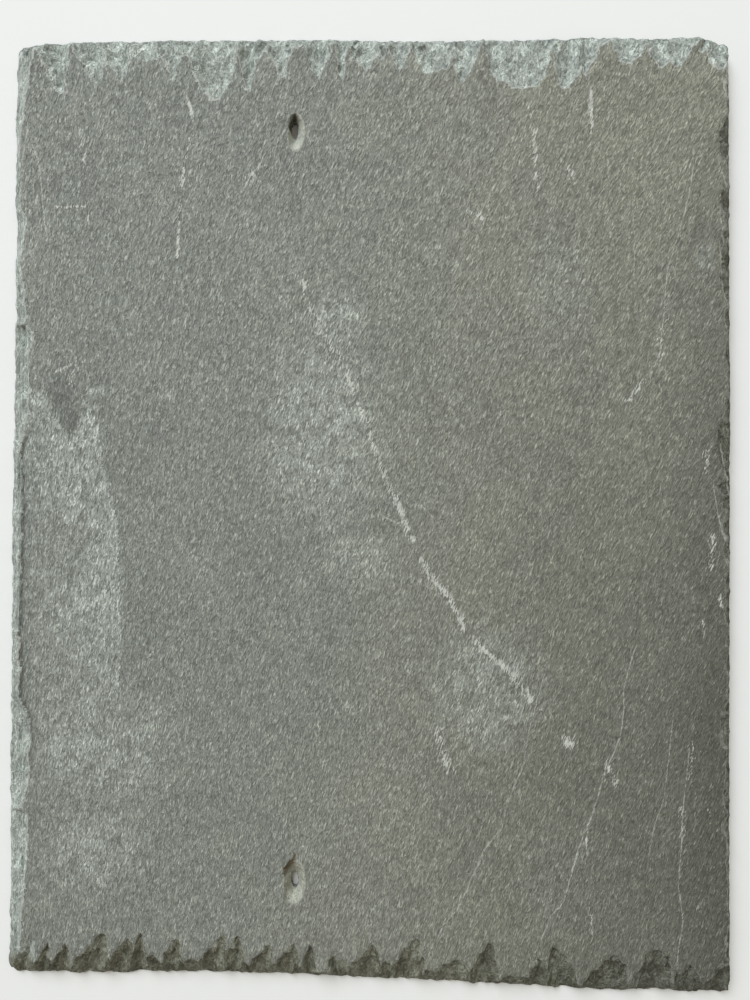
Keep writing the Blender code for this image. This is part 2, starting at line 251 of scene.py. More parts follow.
# Nail holes: neck centre, neck half sizes, crater centre and crater half sizes, all in plan
HOLES = (
    {
        "neck": (-23.0, 122.2),
        "neck_half": (1.1, 2.8),
        "crater": (-22.2, 119.9),
        "crater_half": (2.5, 5.8),
    },
    {
        "neck": (-23.0, -115.8),
        "neck_half": (1.0, 2.8),
        "crater": (-22.8, -114.6),
        "crater_half": (3.4, 6.8),
    },
)
CRACK = [(-25.9, -110.7), (-24.0, -109.2), (-22.5, -106.4)]
CRACK_WIDTH = 0.45
NECK_HEIGHT = 1.8
CRATER_CURVE = 0.9
CRATER_RINGS = 16
# Where the crushed stone with painted light and the brown stain with painted shade fade round a hole, as
# shares of the crater's half sizes
PALE_FADE = (1.15, 0.85)
BROWN_FADE = (1.1, 0.95)
NECK_SIDES = 28
NECK_RAGGED = 0.08

# White mineral flecks on the face: (half width of the swarm, strength, points)
FLECKS = [
    (1.3, 0.6, [(-28, 70), (-24, 64), (-22, 56)]),
    (1.5, 0.75, [(-21, 75), (-18, 66), (-14.5, 58), (-7, 45.5)]),
    (1.2, 0.95, [(-7, 45.5), (-0.5, 29.5), (4, 17)]),
    (1.5, 0.95, [(4, 17), (10.5, 1.5), (15, -9.5)]),
    (1.3, 0.95, [(15, -9.5), (20.5, -20.5), (26, -26.5), (32.5, -39)]),
    (1.4, 0.95, [(32.5, -39), (40.5, -45.5), (46.5, -51.5), (54, -61.5)]),
    (1.8, 0.85, [(60.5, -69), (65, -73.5)]),
    (1.3, 0.8, [(74, -76), (76, -80), (78, -85)]),
    (0.45, 1.0, [(-55.5, 130.5), (-55, 124)]),
    (0.5, 0.8, [(-55, 120.5), (-57, 110)]),
    (0.8, 1.0, [(-57, 109.5), (-58, 101.5)]),
    (0.6, 0.9, [(-58, 100), (-59, 89), (-59.5, 78)]),
    (0.8, 1.0, [(70, 133.5), (70.5, 122), (70, 115.5)]),
    (1.6, 0.6, [(51, 128), (54, 101.5)]),
    (1.6, 0.7, [(62, 111), (65, 103)]),
    (0.9, 0.95, [(30.5, 96), (35, 94), (37.5, 91.5)]),
    (1.8, 0.8, [(-37, 104), (-32, 112)]),
    (1.5, 0.6, [(-37, 139), (-38, 131.5)]),
    (0.5, 0.85, [(-98, 96.5), (-86.5, 96.5)]),
    (0.5, 0.85, [(-87, 96.5), (-87.5, 90.5)]),
    (1.0, 0.7, [(-102, 44.5), (-96, 45.5), (-91, 47.5), (-93, 42), (-90.5, 38.5)]),
    (0.9, 0.9, [(87.5, 43), (82, 35.5), (80.5, 36.5)]),
    (1.6, 0.5, [(93, 62.5), (91.5, 49.5), (87.5, 43)]),
    (0.5, 0.8, [(-74, -82.5), (-73, -91.5)]),
    (0.5, 0.8, [(-76.5, -85), (-76.5, -88)]),
    (0.5, 0.7, [(-62.5, -82.5), (-62.5, -85.5)]),
    (0.4, 0.7, [(-95.5, -77.5), (-95.5, -82.5)]),
    (0.4, 0.7, [(-98, -89), (-98, -93)]),
    (1.5, 0.7, [(106.5, 21), (106.5, 12)]),
    (1.4, 0.7, [(108, -5.5), (108, -18.5)]),
    (0.9, 0.8, [(110.5, -24.5), (111, -30)]),
    (0.8, 0.6, [(105.5, -31.5), (105.5, -37)]),
    (1.2, 0.8, [(107, -91.5), (107, -94)]),
    (2.0, 0.8, [(22, -66.5), (24, -74), (26.5, -82)]),
    (0.6, 0.8, [(65.5, -124), (65.5, -131)]),
    (0.8, 0.6, [(70, -121), (70, -132.5)]),
    (0.8, 0.6, [(69, -95.5), (68.5, -105.5)]),
    (1.2, 0.6, [(98, -91), (99, -101)]),
    (0.9, 0.6, [(103, -66), (101, -84)]),
    (1.5, 0.5, [(-95, 125), (-89, 112), (-87, 103)]),
]

# Hair-thin pale lines, along old ledges and scratches: (half width, strength, points)
HAIRS = [
    (0.2, 0.8, [
        (84, -41.5), (82.5, -46.5), (80.5, -54.5), (80.5, -61.5), (79.5, -69), (76.5, -76.5), (74, -82),
        (72.5, -88), (70.5, -94), (66, -105.5), (63, -116.5), (61.5, -121.5), (58, -125), (54, -134)]),
    (0.16, 0.5, [(59, -33.5), (57, -45), (51, -66.5), (49, -78)]),
    (0.2, 0.65, [
        (49, -78), (46.5, -84.5), (43.5, -92), (42.5, -98), (37, -104.5), (35.5, -108), (32.5, -114.5),
        (28.5, -123.5), (24, -128.5), (22, -133)]),
    (0.16, 0.6, [(96, -62.5), (94.5, -75.5), (93, -89), (90, -97), (88, -108)]),
    (0.17, 0.75, [
        (101, -72), (100.5, -78), (99, -91.5), (98.5, -103), (97.5, -116.5), (99, -127), (97.5, -136.5),
        (97, -141.5)]),
    (0.18, 0.65, [
        (102.5, 111.5), (101, 100.5), (98.5, 91.5), (96.5, 84.5), (94, 76.5), (93, 62.5), (91.5, 49.5),
        (87.5, 41.5)]),
    (0.17, 0.8, [(3.8, 0.2), (10.5, -3)]),
    (0.15, 0.45, [(40, 27.5), (37, 21), (34.5, 15), (33, 12)]),
    (0.15, 0.45, [(26, -8), (22, -2), (16, 4)]),
    (0.15, 0.5, [(-11, 63), (-3, 60.5), (4, 59.5)]),
    (0.15, 0.45, [(-7, 50), (2, 44), (9, 38)]),
    (0.15, 0.5, [(-28, 74), (-20, 77)]),
    (0.22, 0.8, [(-106, 122.5), (-107.8, 112), (-108.6, 100), (-108.8, 92), (-110, 82)]),
    (0.22, 0.85, [(-105, 116.5), (-102.9, 111), (-102, 103), (-101, 92), (-99.8, 86)]),
    (0.2, 0.7, [(88.5, 110), (92.5, 118)]),
    (0.16, 0.5, [(83, 99), (84, 86), (83.5, 72)]),
    (0.16, 0.4, [(-100, -82), (-96, -82.5)]),
    (0.42, 1.7, [(-56.1, 130.6), (-55.4, 128), (-54.8, 126), (-54.7, 124.5)]),
    (0.45, 1.5, [(70, 133.7), (70.4, 130), (69.9, 127), (70.6, 123.5)]),
    (0.2, 0.7, [(110.7, 109), (113.1, 101.5)]),
    (0.2, 0.7, [(110.4, 95.5), (112, 85)]),
    (0.2, 0.7, [(110.5, 86), (111.6, 70.5), (113, 65.5)]),
    (0.22, 0.8, [(110.9, 22.5), (113.8, 6)]),
    (0.2, 0.7, [(108.3, 10), (110.3, -1.5), (112.3, -8)]),
]
FLECK_LAYERS = 4
HAIR_LAYERS = 2
MARK_CLEARANCE = 9.0
MARK_FADE = (3.0, 5.0)
MARK_FAR = 40.0

# Pale blooms: (centre x, centre y, half width, half length, strength)
BLOOMS = [
    (-93.5, 29.5, 3.0, 8.0, 0.8),
    (-94.5, 11.0, 13.0, 15.5, 0.8),
    (-83.5, -33.0, 23.5, 22.0, 0.75),
    (-86.5, -70.5, 25.0, 25.0, 0.65),
    (-85.0, -105.0, 19.0, 15.5, 0.6),
    (-14.5, 26.5, 20.5, 34.5, 0.7),
    (-9.0, 61.0, 9.0, 10.0, 0.85),
    (-2.0, -14.0, 12.5, 9.5, 0.5),
    (38.5, -55.0, 20.5, 22.0, 0.7),
    (106.0, 80.5, 3.0, 5.0, 0.9),
    (60.5, 70.5, 12.5, 22.0, 0.25),
    (60.5, -114.0, 19.0, 19.0, 0.25),
]

# Darker patches, laid out in the same way
DARK_PATCHES = [
    (-96.5, 39.0, 4.6, 6.0, 0.9),
    (-93.5, 31.5, 3.2, 5.5, 0.9),
    (-106.0, 142.5, 2.6, 6.0, 1.0),
]

# Where a bloom and a darker patch fade, in from the edge, as shares of their half sizes
BLOOM_FADE = (1.25, 0.35)
DARK_PATCH_FADE = (1.2, 0.6)

# How much a darker patch or the painted shade darkens at full strength, and the strength of the painted
# shade in the hollow beside the left strip
PATCH_AND_SHADE_DARKENING = 0.3
HOLLOW_SHADE = 1.5

# The two places between which the stone changes, across or along: its body warms and darkens, the darkening
# partly its own tone and partly painted shade where the light falls off; its right rim darkens with painted
# shade; the left strip's broken stone turns to slivers; and the scars turn olive, partly a weathered tone
# and partly painted shade, and darken further with painted shade towards the right
WARM_ACROSS = (-80.0, 100.0)
WARM_ALONG = (20.0, -150.0)
SHADE = 0.39
SHADE_ACROSS = (-10.0, 100.0)
SHADE_ALONG = (130.0, -95.0)
RIM_SHADE = 0.18
RIM_ACROSS = (88.0, 112.0)
RIM_ALONG = (130.0, 90.0)
SLIVERS_ACROSS = (-103.5, -104.5)
OLIVE_ACROSS = (70.0, 110.0)
OLIVE_ALONG = (60.0, -110.0)
SCAR_SHADE_ACROSS = (0.0, 105.0)
UNDER_CORNER = (140.0, 125.0)
PAST_STRIP = (-105.0, -102.0)
STRIP_END = (-136.0, -142.0)

# Scales on the places of the strokes and the grit, across, along and down: under 1 draws them out
STROKE_STRETCH = (2.4, 1.5, 1.0)
GRIT_STRETCH = (1.0, 0.55, 1.0)

# How fine the surface is
FACE_CELLS = (144, 192)
BACK_CELLS = (72, 96)
TOP_BAND = 21.0
BOTTOM_BAND = 16.5
LEFT_BAND = 12.0
RIGHT_BAND = 6.0
HOLE_BAND = 9.5
BACK_BAND = 6.0
FINEST_BEND = 0.09
DRESSED_REACH = 25.0
WALL_ROWS = 5
WALL_DEPTH = 2.0
RIM_END = 4.0
RIM_NEAR = 1e-5
NOISE_LATTICE = 64

# How ragged the outline and the walls are
WALL_RAGGED = 0.35
EDGE_RAGGED = 0.3
EDGE_RAGGED_CELL = 4.0
RIGHT_RAGGED = 0.35
FINE_RAGGED = 0.22
FINE_RAGGED_CELL = 1.3

# Spalls along the underside's arris, as noises of (height, size), and the low relief within them
SPALLS = ((1.0, 7.0), (0.5, 2.5))
SPALL_FROM = 0.25
SPALL_HEIGHT = 1.2
BACK_RELIEF = 0.12
BACK_RELIEF_CELL = 17.0
BACK_RELIEF_FADE = 12.0

# Lean of the face's grain at the middle, and how much more it leans for each millimetre to the right
GRAIN_LEAN = 0.3
GRAIN_LEAN_TURN = 0.00105

# How far apart two seeds lie in the noise of the ripples
SEED_STEP = 7.31

# The window light: its size in metres, how far it stands left of the top edge and how high, in degrees,
# and its distance in metres
WINDOW_SIZE = (3.0, 2.6)
WINDOW_TURN = 28.0
WINDOW_RISE = 42.0
WINDOW_DISTANCE = 4.2

# The floor lies this far under the slate, in metres, so that the two never share a plane
FLOOR_DROP = -0.0002

# The camera's sensor in millimetres, and the nearest that it sees in metres
SENSOR_WIDTH = 36.0
NEAREST_SEEN = 0.01


# Surface shapes worked out point by point

def smooth_noise(x, y, cell, seed):
    """Smooth noise from -1 to 1, with features about one cell across."""
    lattice = np.random.default_rng(seed).uniform(-1.0, 1.0, (NOISE_LATTICE, NOISE_LATTICE))
    column = np.floor(x / cell).astype(int)
    row = np.floor(y / cell).astype(int)
    across = x / cell - column
    along = y / cell - row
    across = across * across * (3 - 2 * across)
    along = along * along * (3 - 2 * along)
    here, right = column % NOISE_LATTICE, (column + 1) % NOISE_LATTICE
    below, above = row % NOISE_LATTICE, (row + 1) % NOISE_LATTICE
    low = lattice[here, below] * (1 - across) + lattice[right, below] * across
    high = lattice[here, above] * (1 - across) + lattice[right, above] * across
    return low * (1 - along) + high * along


def summed_noise(x, y, waves, seed):
    """The sum of smooth noises, each given as its height and the size of its features."""
    total = 0
    for number, (height, cell) in enumerate(waves):
        total = total + height * smooth_noise(x, y, cell, seed + number)
    return total


def smooth_step(value, low, high):
    """0 at low, 1 at high and an even curve between; high may be the smaller of the two."""
    share = np.clip((value - low) / (high - low), 0, 1)
    return share * share * (3 - 2 * share)


def along_edge(bow, place, ragged=1.0):
    """How far an edge has bowed inwards at each place along it, with its raggedness."""
    stations, inwards = zip(*bow)
    coarse = smooth_noise(place, place * 0 + len(bow), EDGE_RAGGED_CELL, SEED)
    fine = smooth_noise(place, place * 0, FINE_RAGGED_CELL, SEED + len(bow))
    torn = EDGE_RAGGED * (1 + coarse) + FINE_RAGGED * (1 + fine)
    return np.interp(place, stations, inwards) + torn * ragged


def plan_of(x, y):
    """Carries points of the nominal rectangle to the slate's real plan, before it is centred."""
    for side_x, side_y, radii in CORNERS:
        across = (x * side_x - (WIDTH / 2 - radii[0])) / radii[0]
        along = (y * side_y - (LENGTH / 2 - radii[1])) / radii[1]
        inside = (across > 0) & (along > 0)
        across = np.where(inside, across, 1.0)
        along = np.where(inside, along, 0.0)
        shrink = np.maximum(across, along) / np.hypot(across, along)
        x = np.where(inside, side_x * (WIDTH / 2 - radii[0] + across * shrink * radii[0]), x)
        y = np.where(inside, side_y * (LENGTH / 2 - radii[1] + along * shrink * radii[1]), y)
    share_x = x / WIDTH + 0.5
    share_y = y / LENGTH + 0.5
    shift_x = along_edge(LEFT_BOW, y) * (1 - share_x) - along_edge(RIGHT_BOW, y, RIGHT_RAGGED) * share_x
    shift_y = along_edge(BOTTOM_BOW, x) * (1 - share_y) - along_edge(TOP_BOW, x) * share_y
    return x + shift_x, y + shift_y


def plan_settle():
    """Middle and stretch that centre the real plan and give it the slate's full size."""
    along = np.linspace(-0.5, 0.5, 2001)
    rim_x = np.concatenate([along, along, along * 0 - 0.5, along * 0 + 0.5]) * WIDTH
    rim_y = np.concatenate([along * 0 - 0.5, along * 0 + 0.5, along, along]) * LENGTH
    x, y = plan_of(rim_x, rim_y)
    middle = ((x.min() + x.max()) / 2, (y.min() + y.max()) / 2)
    return middle, (WIDTH / np.ptp(x), LENGTH / np.ptp(y))


def real_plan(x, y):
    """Carries points of the nominal rectangle to where they really are, with the slate centred."""
    (middle_x, middle_y), (stretch_x, stretch_y) = PLAN_SETTLE
    x, y = plan_of(x, y)
    return (x - middle_x) * stretch_x, (y - middle_y) * stretch_y


PLAN_SETTLE = plan_settle()


def stepped(height, torn):
    """Gathers heights into thin split layers whose edges are torn."""
    level = (height + torn) / LAYER
    tread = np.floor(level)
    layered = (tread + smooth_step(level - tread, 0.5, 1.0)) * LAYER
    return height + LAYER_SHARE * (layered - height)


def scar_height(place, inwards, foot, scar):
    """Height of one flake scar: a small cliff at its outline, then a stepped scoop down to the foot."""
    tip, reach, root_from, root_to, bluntness = scar
    root = (root_from + root_to) / 2
    half = (root_to - root_from) / 2
    aside = place - root - (tip - root) * inwards / reach
    ratio = (np.abs(aside / half) ** bluntness + (inwards / reach) ** bluntness) ** (1 / bluntness)
    inside = np.clip(1 - ratio, 0, 1)
    cliff = CLIFF_HEIGHT * (1 + 0.5 * math.sin(tip * CLIFF_TURN)) * min(reach / CLIFF_REACH, 1)
    wall = np.minimum(inside * min(half, reach) / CLIFF_WIDTH, 1)
    height = THICKNESS - cliff * wall - (THICKNESS - cliff - foot) * inside**SCAR_SLOPE
    hackle_x, hackle_y = aside / HACKLE_SIZE[0], inwards / HACKLE_SIZE[1]
    hackle = smooth_noise(hackle_x, hackle_y, 1.0, SEED + 11)
    hackle += 0.5 * smooth_noise(hackle_x * 2, hackle_y * 2, 1.0, SEED + 12)
    hackle *= min(reach / HACKLE_REACH, 1)
    rise = HACKLE_HEIGHT * hackle * wall * np.clip(height / 3, 0, 1)
    height = stepped(height + rise, LAYER_TORN * hackle)
    return np.where(ratio < 1, np.minimum(height, THICKNESS), THICKNESS)


def small_scars(edge_from, edge_to, every, reach, seed):
    """Seeded small flakes all along an edge, between the large ones."""
    random = np.random.default_rng(seed)
    scars = []
    for root in np.arange(edge_from, edge_to, every):
        centre = root + random.uniform(-every, every) / 2
        half = random.uniform(*SMALL_HALF) * every
        length = random.uniform(*reach)
        lean = random.uniform(*SMALL_LEAN) * length
        bluntness = random.uniform(*SMALL_BLUNTNESS)
        scars.append((centre + lean, length, centre - half, centre + half, bluntness))
    return scars


def edge_height(place, inwards, edge, small, seed):
    """Height of one dressed edge: its bevel and all of its flake scars, with torn outlines."""
    foot, bevel, scars = edge
    place = place + summed_noise(place, inwards, TORN_ALONG, seed)
    torn = summed_noise(place, inwards, TORN_INWARDS, seed + 2)
    inwards = np.maximum(inwards + torn * np.clip(inwards / 4, 0, 1), 0.0)
    foot = foot + FOOT_RAGGED * smooth_noise(place, place * 0, 2.0, SEED + 5)
    width = bevel * (1 + BEVEL_SHARE * smooth_noise(place, place * 0, bevel, SEED + 1))
    share = np.minimum(inwards / width, 1.0)
    rough = smooth_noise(place, inwards, 1.2, seed + 4)
    rough = rough * np.clip((THICKNESS - foot) / 4, 0, 1)
    bevelled = foot + (THICKNESS - foot) * share**BEVEL_CURVE
    bevelled = bevelled + 0.5 * rough * np.clip(4 * share * (1 - share), 0, 1)
    height = np.where(share < 1, np.minimum(stepped(bevelled, 0.4 * rough), THICKNESS), THICKNESS)
    for scar in scars + small:
        tip, reach, root_from, root_to, _ = scar
        past_start = place > min(root_from, tip) - reach
        near = past_start & (place < max(root_to, tip) + reach) & (inwards < reach)
        height[near] = np.minimum(height[near], scar_height(place[near], inwards[near], foot[near], scar))
    return height


def strip_reach(place):
    """How far the left edge's strip reaches in, from the nominal edge."""
    bow = np.interp(place, *zip(*LEFT_BOW)) + EDGE_RAGGED
    torn = 0.35 * smooth_noise(place, place * 0, 2.2, SEED + 54)
    return np.interp(place, *zip(*STRIP)) - bow + torn + STRIP_LEAN


def strip_height(place, inwards):
    """Height of the left edge: a thin strip split down in long slivers."""
    reach = strip_reach(place)
    share = np.clip(inwards / reach, 0, 1)
    sliver = smooth_noise(inwards / 0.9 + place / 14, place / 11, 1.0, SEED + 55)
    sliver += 0.5 * smooth_noise(inwards / 0.5 + place / 9, place / 5, 1.0, SEED + 56)
    height = STRIP_FOOT + (THICKNESS - STRIP_LIP - STRIP_FOOT) * share**0.8
    height = stepped(height + 0.45 * sliver * np.clip(4 * share * (1 - share), 0, 1), 0.3 * sliver)
    return np.where(inwards < reach, np.minimum(height, THICKNESS - STRIP_LIP), THICKNESS)


def polyline_distance(x, y, points):
    """For each place: signed distance to a line through points, and how far along it, from 0 to 1."""
    nearest = np.full(x.shape, np.inf)
    signed = np.full(x.shape, np.inf)
    share = np.zeros(x.shape)
    length = sum(math.dist(a, b) for a, b in zip(points, points[1:]))
    run = 0.0
    for start, end in zip(points, points[1:]):
        step = math.dist(start, end)
        along = ((end[0] - start[0]) / step, (end[1] - start[1]) / step)
        offset_x = x - start[0]
        offset_y = y - start[1]
        reach = np.clip(offset_x * along[0] + offset_y * along[1], 0, step)
        distance = np.hypot(offset_x - reach * along[0], offset_y - reach * along[1])
        side = np.sign(offset_x * along[1] - offset_y * along[0])
        closer = distance < nearest
        signed = np.where(closer, side * distance, signed)
        share = np.where(closer, (run + reach) / length, share)
        nearest = np.where(closer, distance, nearest)
        run += step
    return signed, share


def face_height(x, y):
    """Height of the riven face, away from the dressed edges."""
    face = THICKNESS - FACE_SWELL * (1 + smooth_noise(x, y, FACE_SWELL_CELL, SEED + 2)) / 2
    for points in LEDGES:
        signed, share = polyline_distance(x, y, points)
        fade = np.clip(8 * share * (1 - share), 0, 1) * np.exp(-np.abs(signed) / LEDGE_RUN_OUT)
        face = face - LEDGE_DROP * fade * np.clip(signed / LEDGE_WIDTH + 0.5, 0, 1)
    return face


def hollow_depth(place, inwards):
    """Depth of the hollow worn beside the left edge's strip."""
    beside = smooth_step(place, *HOLLOW_FROM) * smooth_step(place, *HOLLOW_TO)
    past = inwards - strip_reach(place)
    away = np.exp(-np.maximum(past, 0) / HOLLOW_WIDTH)
    return HOLLOW_DEPTH * beside * smooth_step(past, 0, HOLLOW_WALL) * away


def crater_height(x, y, hole):
    """Height of the spalled crater round one nail hole, and the full thickness away from it."""
    shares = np.linspace(0, 1, CRATER_RINGS)
    angle = np.arctan2(y - hole["crater"][1], x - hole["crater"][0])
    ragged = 1 + 0.16 * smooth_noise(angle * 2, angle * 0, 1.0, SEED + 8)
    ragged = ragged + 0.07 * smooth_noise(x, y, 0.9, SEED + 9)
    share = np.full(x.shape, 2.0)
    before = None
    for step in shares:
        centre = [a + (b - a) * step for a, b in zip(hole["neck"], hole["crater"])]
        half = [a + (b - a) * step for a, b in zip(hole["neck_half"], hole["crater_half"])]
        ratio = np.hypot((x - centre[0]) / half[0], (y - centre[1]) / half[1]) / ragged
        if before is None:
            share = np.where(ratio <= 1, 0.0, share)
        else:
            crossed = (share > 1) & (ratio <= 1)
            part = (before - 1) / np.maximum(before - ratio, 1e-9)
            share = np.where(crossed, step - (1 - part) / (CRATER_RINGS - 1), share)
        before = ratio
    height = NECK_HEIGHT + (THICKNESS - NECK_HEIGHT) * np.clip(share, 0, 1) ** CRATER_CURVE
    return np.where(share <= 1, height, THICKNESS + 1)


# The mesh of the slab

def nominal_grid(cells, rules):
    """A flat grid over the nominal rectangle, with the edges that each rule picks cut in two in turn."""
    mesh = bmesh.new()
    bmesh.ops.create_grid(mesh, x_segments=cells[0], y_segments=cells[1], size=0.5)
    bmesh.ops.scale(mesh, vec=(WIDTH, LENGTH, 1.0), verts=mesh.verts)
    for rule in rules:
        mesh.verts.index_update()
        points = np.array([vertex.co[:2] for vertex in mesh.verts])
        pairs = np.array([(edge.verts[0].index, edge.verts[1].index) for edge in mesh.edges])
        picked = rule(points, pairs)
        edges = [edge for edge, cut in zip(mesh.edges, picked) if cut]
        bmesh.ops.subdivide_edges(mesh, edges=edges, cuts=1, use_grid_fill=True)
    mesh.verts.index_update()
    points = np.array([vertex.co[:2] for vertex in mesh.verts])
    faces = [[vertex.index for vertex in face.verts] for face in mesh.faces]
    mesh.free()
    return points, faces


def rim_order(points):
    """The numbers of a nominal grid's outermost points, counter-clockwise from one corner."""
    x, y = points[:, 0] / WIDTH, points[:, 1] / LENGTH
    walked = np.full(len(points), -1.0)
    walked = np.where(x < RIM_NEAR - 0.5, 3.5 - y, walked)
    walked = np.where(y > 0.5 - RIM_NEAR, 2.5 - x, walked)
    walked = np.where(x > 0.5 - RIM_NEAR, 1.5 + y, walked)
    walked = np.where((y < RIM_NEAR - 0.5) & (x < 0.5 - RIM_NEAR), 0.5 + x, walked)
    rim = np.nonzero(walked >= 0)[0]
    rim = rim[np.argsort(walked[rim])]
    return rim, walked[rim]


def in_dressed_band(points, pairs):
    """Edges that lie in the dressed bands or round a nail hole."""
    x, y = points[:, 0], points[:, 1]
    top = LENGTH / 2 - y < TOP_BAND
    bottom = LENGTH / 2 + y < BOTTOM_BAND
    left = WIDTH / 2 + x < LEFT_BAND
    right = WIDTH / 2 - x < RIGHT_BAND
    inside = top | bottom | left | right | near_holes(x, y)
    return inside[pairs].all(axis=1)


def at_holes(points, pairs):
    """Edges round a nail hole."""
    return near_holes(points[:, 0], points[:, 1])[pairs].all(axis=1)


def where_it_bends(points, pairs):
    """Edges whose middle lies well off the straight line between their ends."""
    height = upper_surface(points)[0]
    middle = upper_surface(points[pairs].mean(axis=1))[0]
    return np.abs(middle - height[pairs].mean(axis=1)) > FINEST_BEND


def near_holes(x, y):
    """Which places of the nominal rectangle lie round a nail hole."""
    x, y = real_plan(x, y)
    found = np.zeros(x.shape, bool)
    for hole in HOLES:
        found |= np.hypot(x - hole["crater"][0], y - hole["crater"][1]) < HOLE_BAND
    return found


def in_back_band(points, pairs):
    """Edges of the underside that lie in its outer band."""
    x, y = np.abs(points[:, 0]), np.abs(points[:, 1])
    return ((WIDTH / 2 - x < BACK_BAND) | (LENGTH / 2 - y < BACK_BAND))[pairs].all(axis=1)


def upper_surface(points):
    """Height and depth below the face of the nominal grid's points."""
    x, y = points[:, 0], points[:, 1]
    half_width, half_length = WIDTH / 2, LENGTH / 2
    real_x, real_y = real_plan(x, y)
    face = face_height(real_x, real_y) - hollow_depth(real_y, half_width + x)
    height = face.copy()
    edges = (
        (half_length - y, real_x, half_width, TOP_EDGE, TOP_SMALL, SEED + 30),
        (half_length + y, real_x, half_width, BOTTOM_EDGE, BOTTOM_SMALL, SEED + 40),
        (half_width - x, real_y, half_length, RIGHT_EDGE, RIGHT_SMALL, SEED + 60),
    )
    for inwards, place, half, edge, small, seed in edges:
        near = inwards < DRESSED_REACH
        flakes = small_scars(-half, half, *small)
        dressed = edge_height(place[near], inwards[near], edge, flakes, seed)
        height[near] = np.minimum(height[near], face[near] - THICKNESS + dressed)
    near = half_width + x < DRESSED_REACH
    strip = strip_height(real_y[near], half_width + x[near])
    height[near] = np.minimum(height[near], face[near] - THICKNESS + strip)
    for hole in HOLES:
        near = np.hypot(real_x - hole["crater"][0], real_y - hole["crater"][1]) < HOLE_BAND
        height[near] = np.minimum(height[near], crater_height(real_x[near], real_y[near], hole))
    return height, face - height


def lower_surface(points):
    """Height of the underside over the floor: nearly flat, with small spalls along its arris."""
    x, y = points[:, 0], points[:, 1]
    inwards = np.minimum(WIDTH / 2 - np.abs(x), LENGTH / 2 - np.abs(y))
    spall = np.clip(summed_noise(x, y, SPALLS, SEED + 70) - SPALL_FROM, 0, 1)
    spall = spall * smooth_step(inwards, BACK_BAND, 0.0) * SPALL_HEIGHT
    relief = BACK_RELIEF * (1 + smooth_noise(x, y, BACK_RELIEF_CELL, SEED + 72))
    return relief * smooth_step(inwards, 0.0, BACK_RELIEF_FADE) + spall


def wall_rows(x, y, height, low):
    """The broken wall round the rim: rows of points from the upper rim down to the lower one."""
    run = np.hypot(np.roll(x, -1) - np.roll(x, 1), np.roll(y, -1) - np.roll(y, 1))
    inward_x = -(np.roll(y, -1) - np.roll(y, 1)) / run
    inward_y = (np.roll(x, -1) - np.roll(x, 1)) / run
    place = np.cumsum(run) / 2
    rows = []
    for row in range(1, WALL_ROWS):
        share = row / WALL_ROWS
        level = height * (1 - share) + low * share
        torn = smooth_noise(place, level * 5.0, 3.0, SEED + 80)
        torn += 0.6 * smooth_noise(place, level * 3.0, 1.2, SEED + 81)
        inset = WALL_RAGGED * np.clip(1 + torn, 0, 2) * math.sin(math.pi * share) ** 0.5
        rows.append((x + inward_x * inset, y + inward_y * inset, level))
    return rows


def layers_of(marks, count):
    """Deals marks into layers so that close marks fall in different ones."""
    layers = [[] for _ in range(count)]
    for mark in marks:
        points = np.array(mark[2], float)
        for layer in layers:
            clear = True
            for other in layer:
                theirs = np.array(other[2], float)
                gap = np.abs(polyline_distance(points[:, 0], points[:, 1], other[2])[0]).min()
                back = np.abs(polyline_distance(theirs[:, 0], theirs[:, 1], mark[2])[0]).min()
                clear = clear and min(gap, back) > MARK_CLEARANCE
            if clear:
                layer.append(mark)
                break
        else:
            layers[-1].append(mark)
    return layers


def mark_fields(x, y, marks, count):
    """For each layer: signed distance to the nearest mark in half widths, and its strength there."""
    made = []
    for layer in layers_of(marks, count):
        nearest = np.full(x.shape, np.inf)
        offset = np.full(x.shape, MARK_FAR)
        strength = np.zeros(x.shape)
        for half_width, power, points in layer:
            signed, share = polyline_distance(x, y, points)
            distance = np.abs(signed)
            length = sum(math.dist(a, b) for a, b in zip(points, points[1:]))
            ends = np.clip(np.minimum(share, 1 - share) * length / 2.0 + 0.3, 0, 1)
            beyond = smooth_step(distance, MARK_FADE[1], MARK_FADE[0])
            closer = distance < nearest
            offset = np.where(closer, np.clip(signed / half_width, -MARK_FAR, MARK_FAR), offset)
            strength = np.where(closer, power * ends * beyond, strength)
            nearest = np.minimum(nearest, distance)
        made.append((offset, strength))
    return made


def bloom_of(x, y):
    """Strength of the pale bloom at each place."""
    bloom = np.zeros(x.shape)
    for centre_x, centre_y, half_x, half_y, strength in BLOOMS:
        ratio = np.hypot((x - centre_x) / half_x, (y - centre_y) / half_y)
        bloom = np.maximum(bloom, strength * smooth_step(ratio, *BLOOM_FADE))
    return bloom


def leaf_of(x, y, offset):
    """Strength of the pale leaf of stone left of the long ledge, before its edge cuts it off."""
    from_edge = np.exp(-np.maximum(offset, 0) / LEAF_FADE)
    return from_edge * smooth_step(y, *LEAF_TOP) * smooth_step(y, *LEAF_END)


def bridge(upper, upper_at, lower, lower_at):
    """Triangles between two closed rims whose points stand at different places round them."""
    upper, lower = np.append(upper, upper[0]), np.append(lower, lower[0])
    upper_at, lower_at = np.append(upper_at, RIM_END), np.append(lower_at, RIM_END)
    faces = []
    i = j = 0
    while i < len(upper) - 1 or j < len(lower) - 1:
        if j == len(lower) - 1 or (i < len(upper) - 1 and upper_at[i + 1] <= lower_at[j + 1]):
            faces.append([lower[j], upper[i + 1], upper[i]])
            i += 1
        else:
            faces.append([lower[j], lower[j + 1], upper[i]])
            j += 1
    return faces


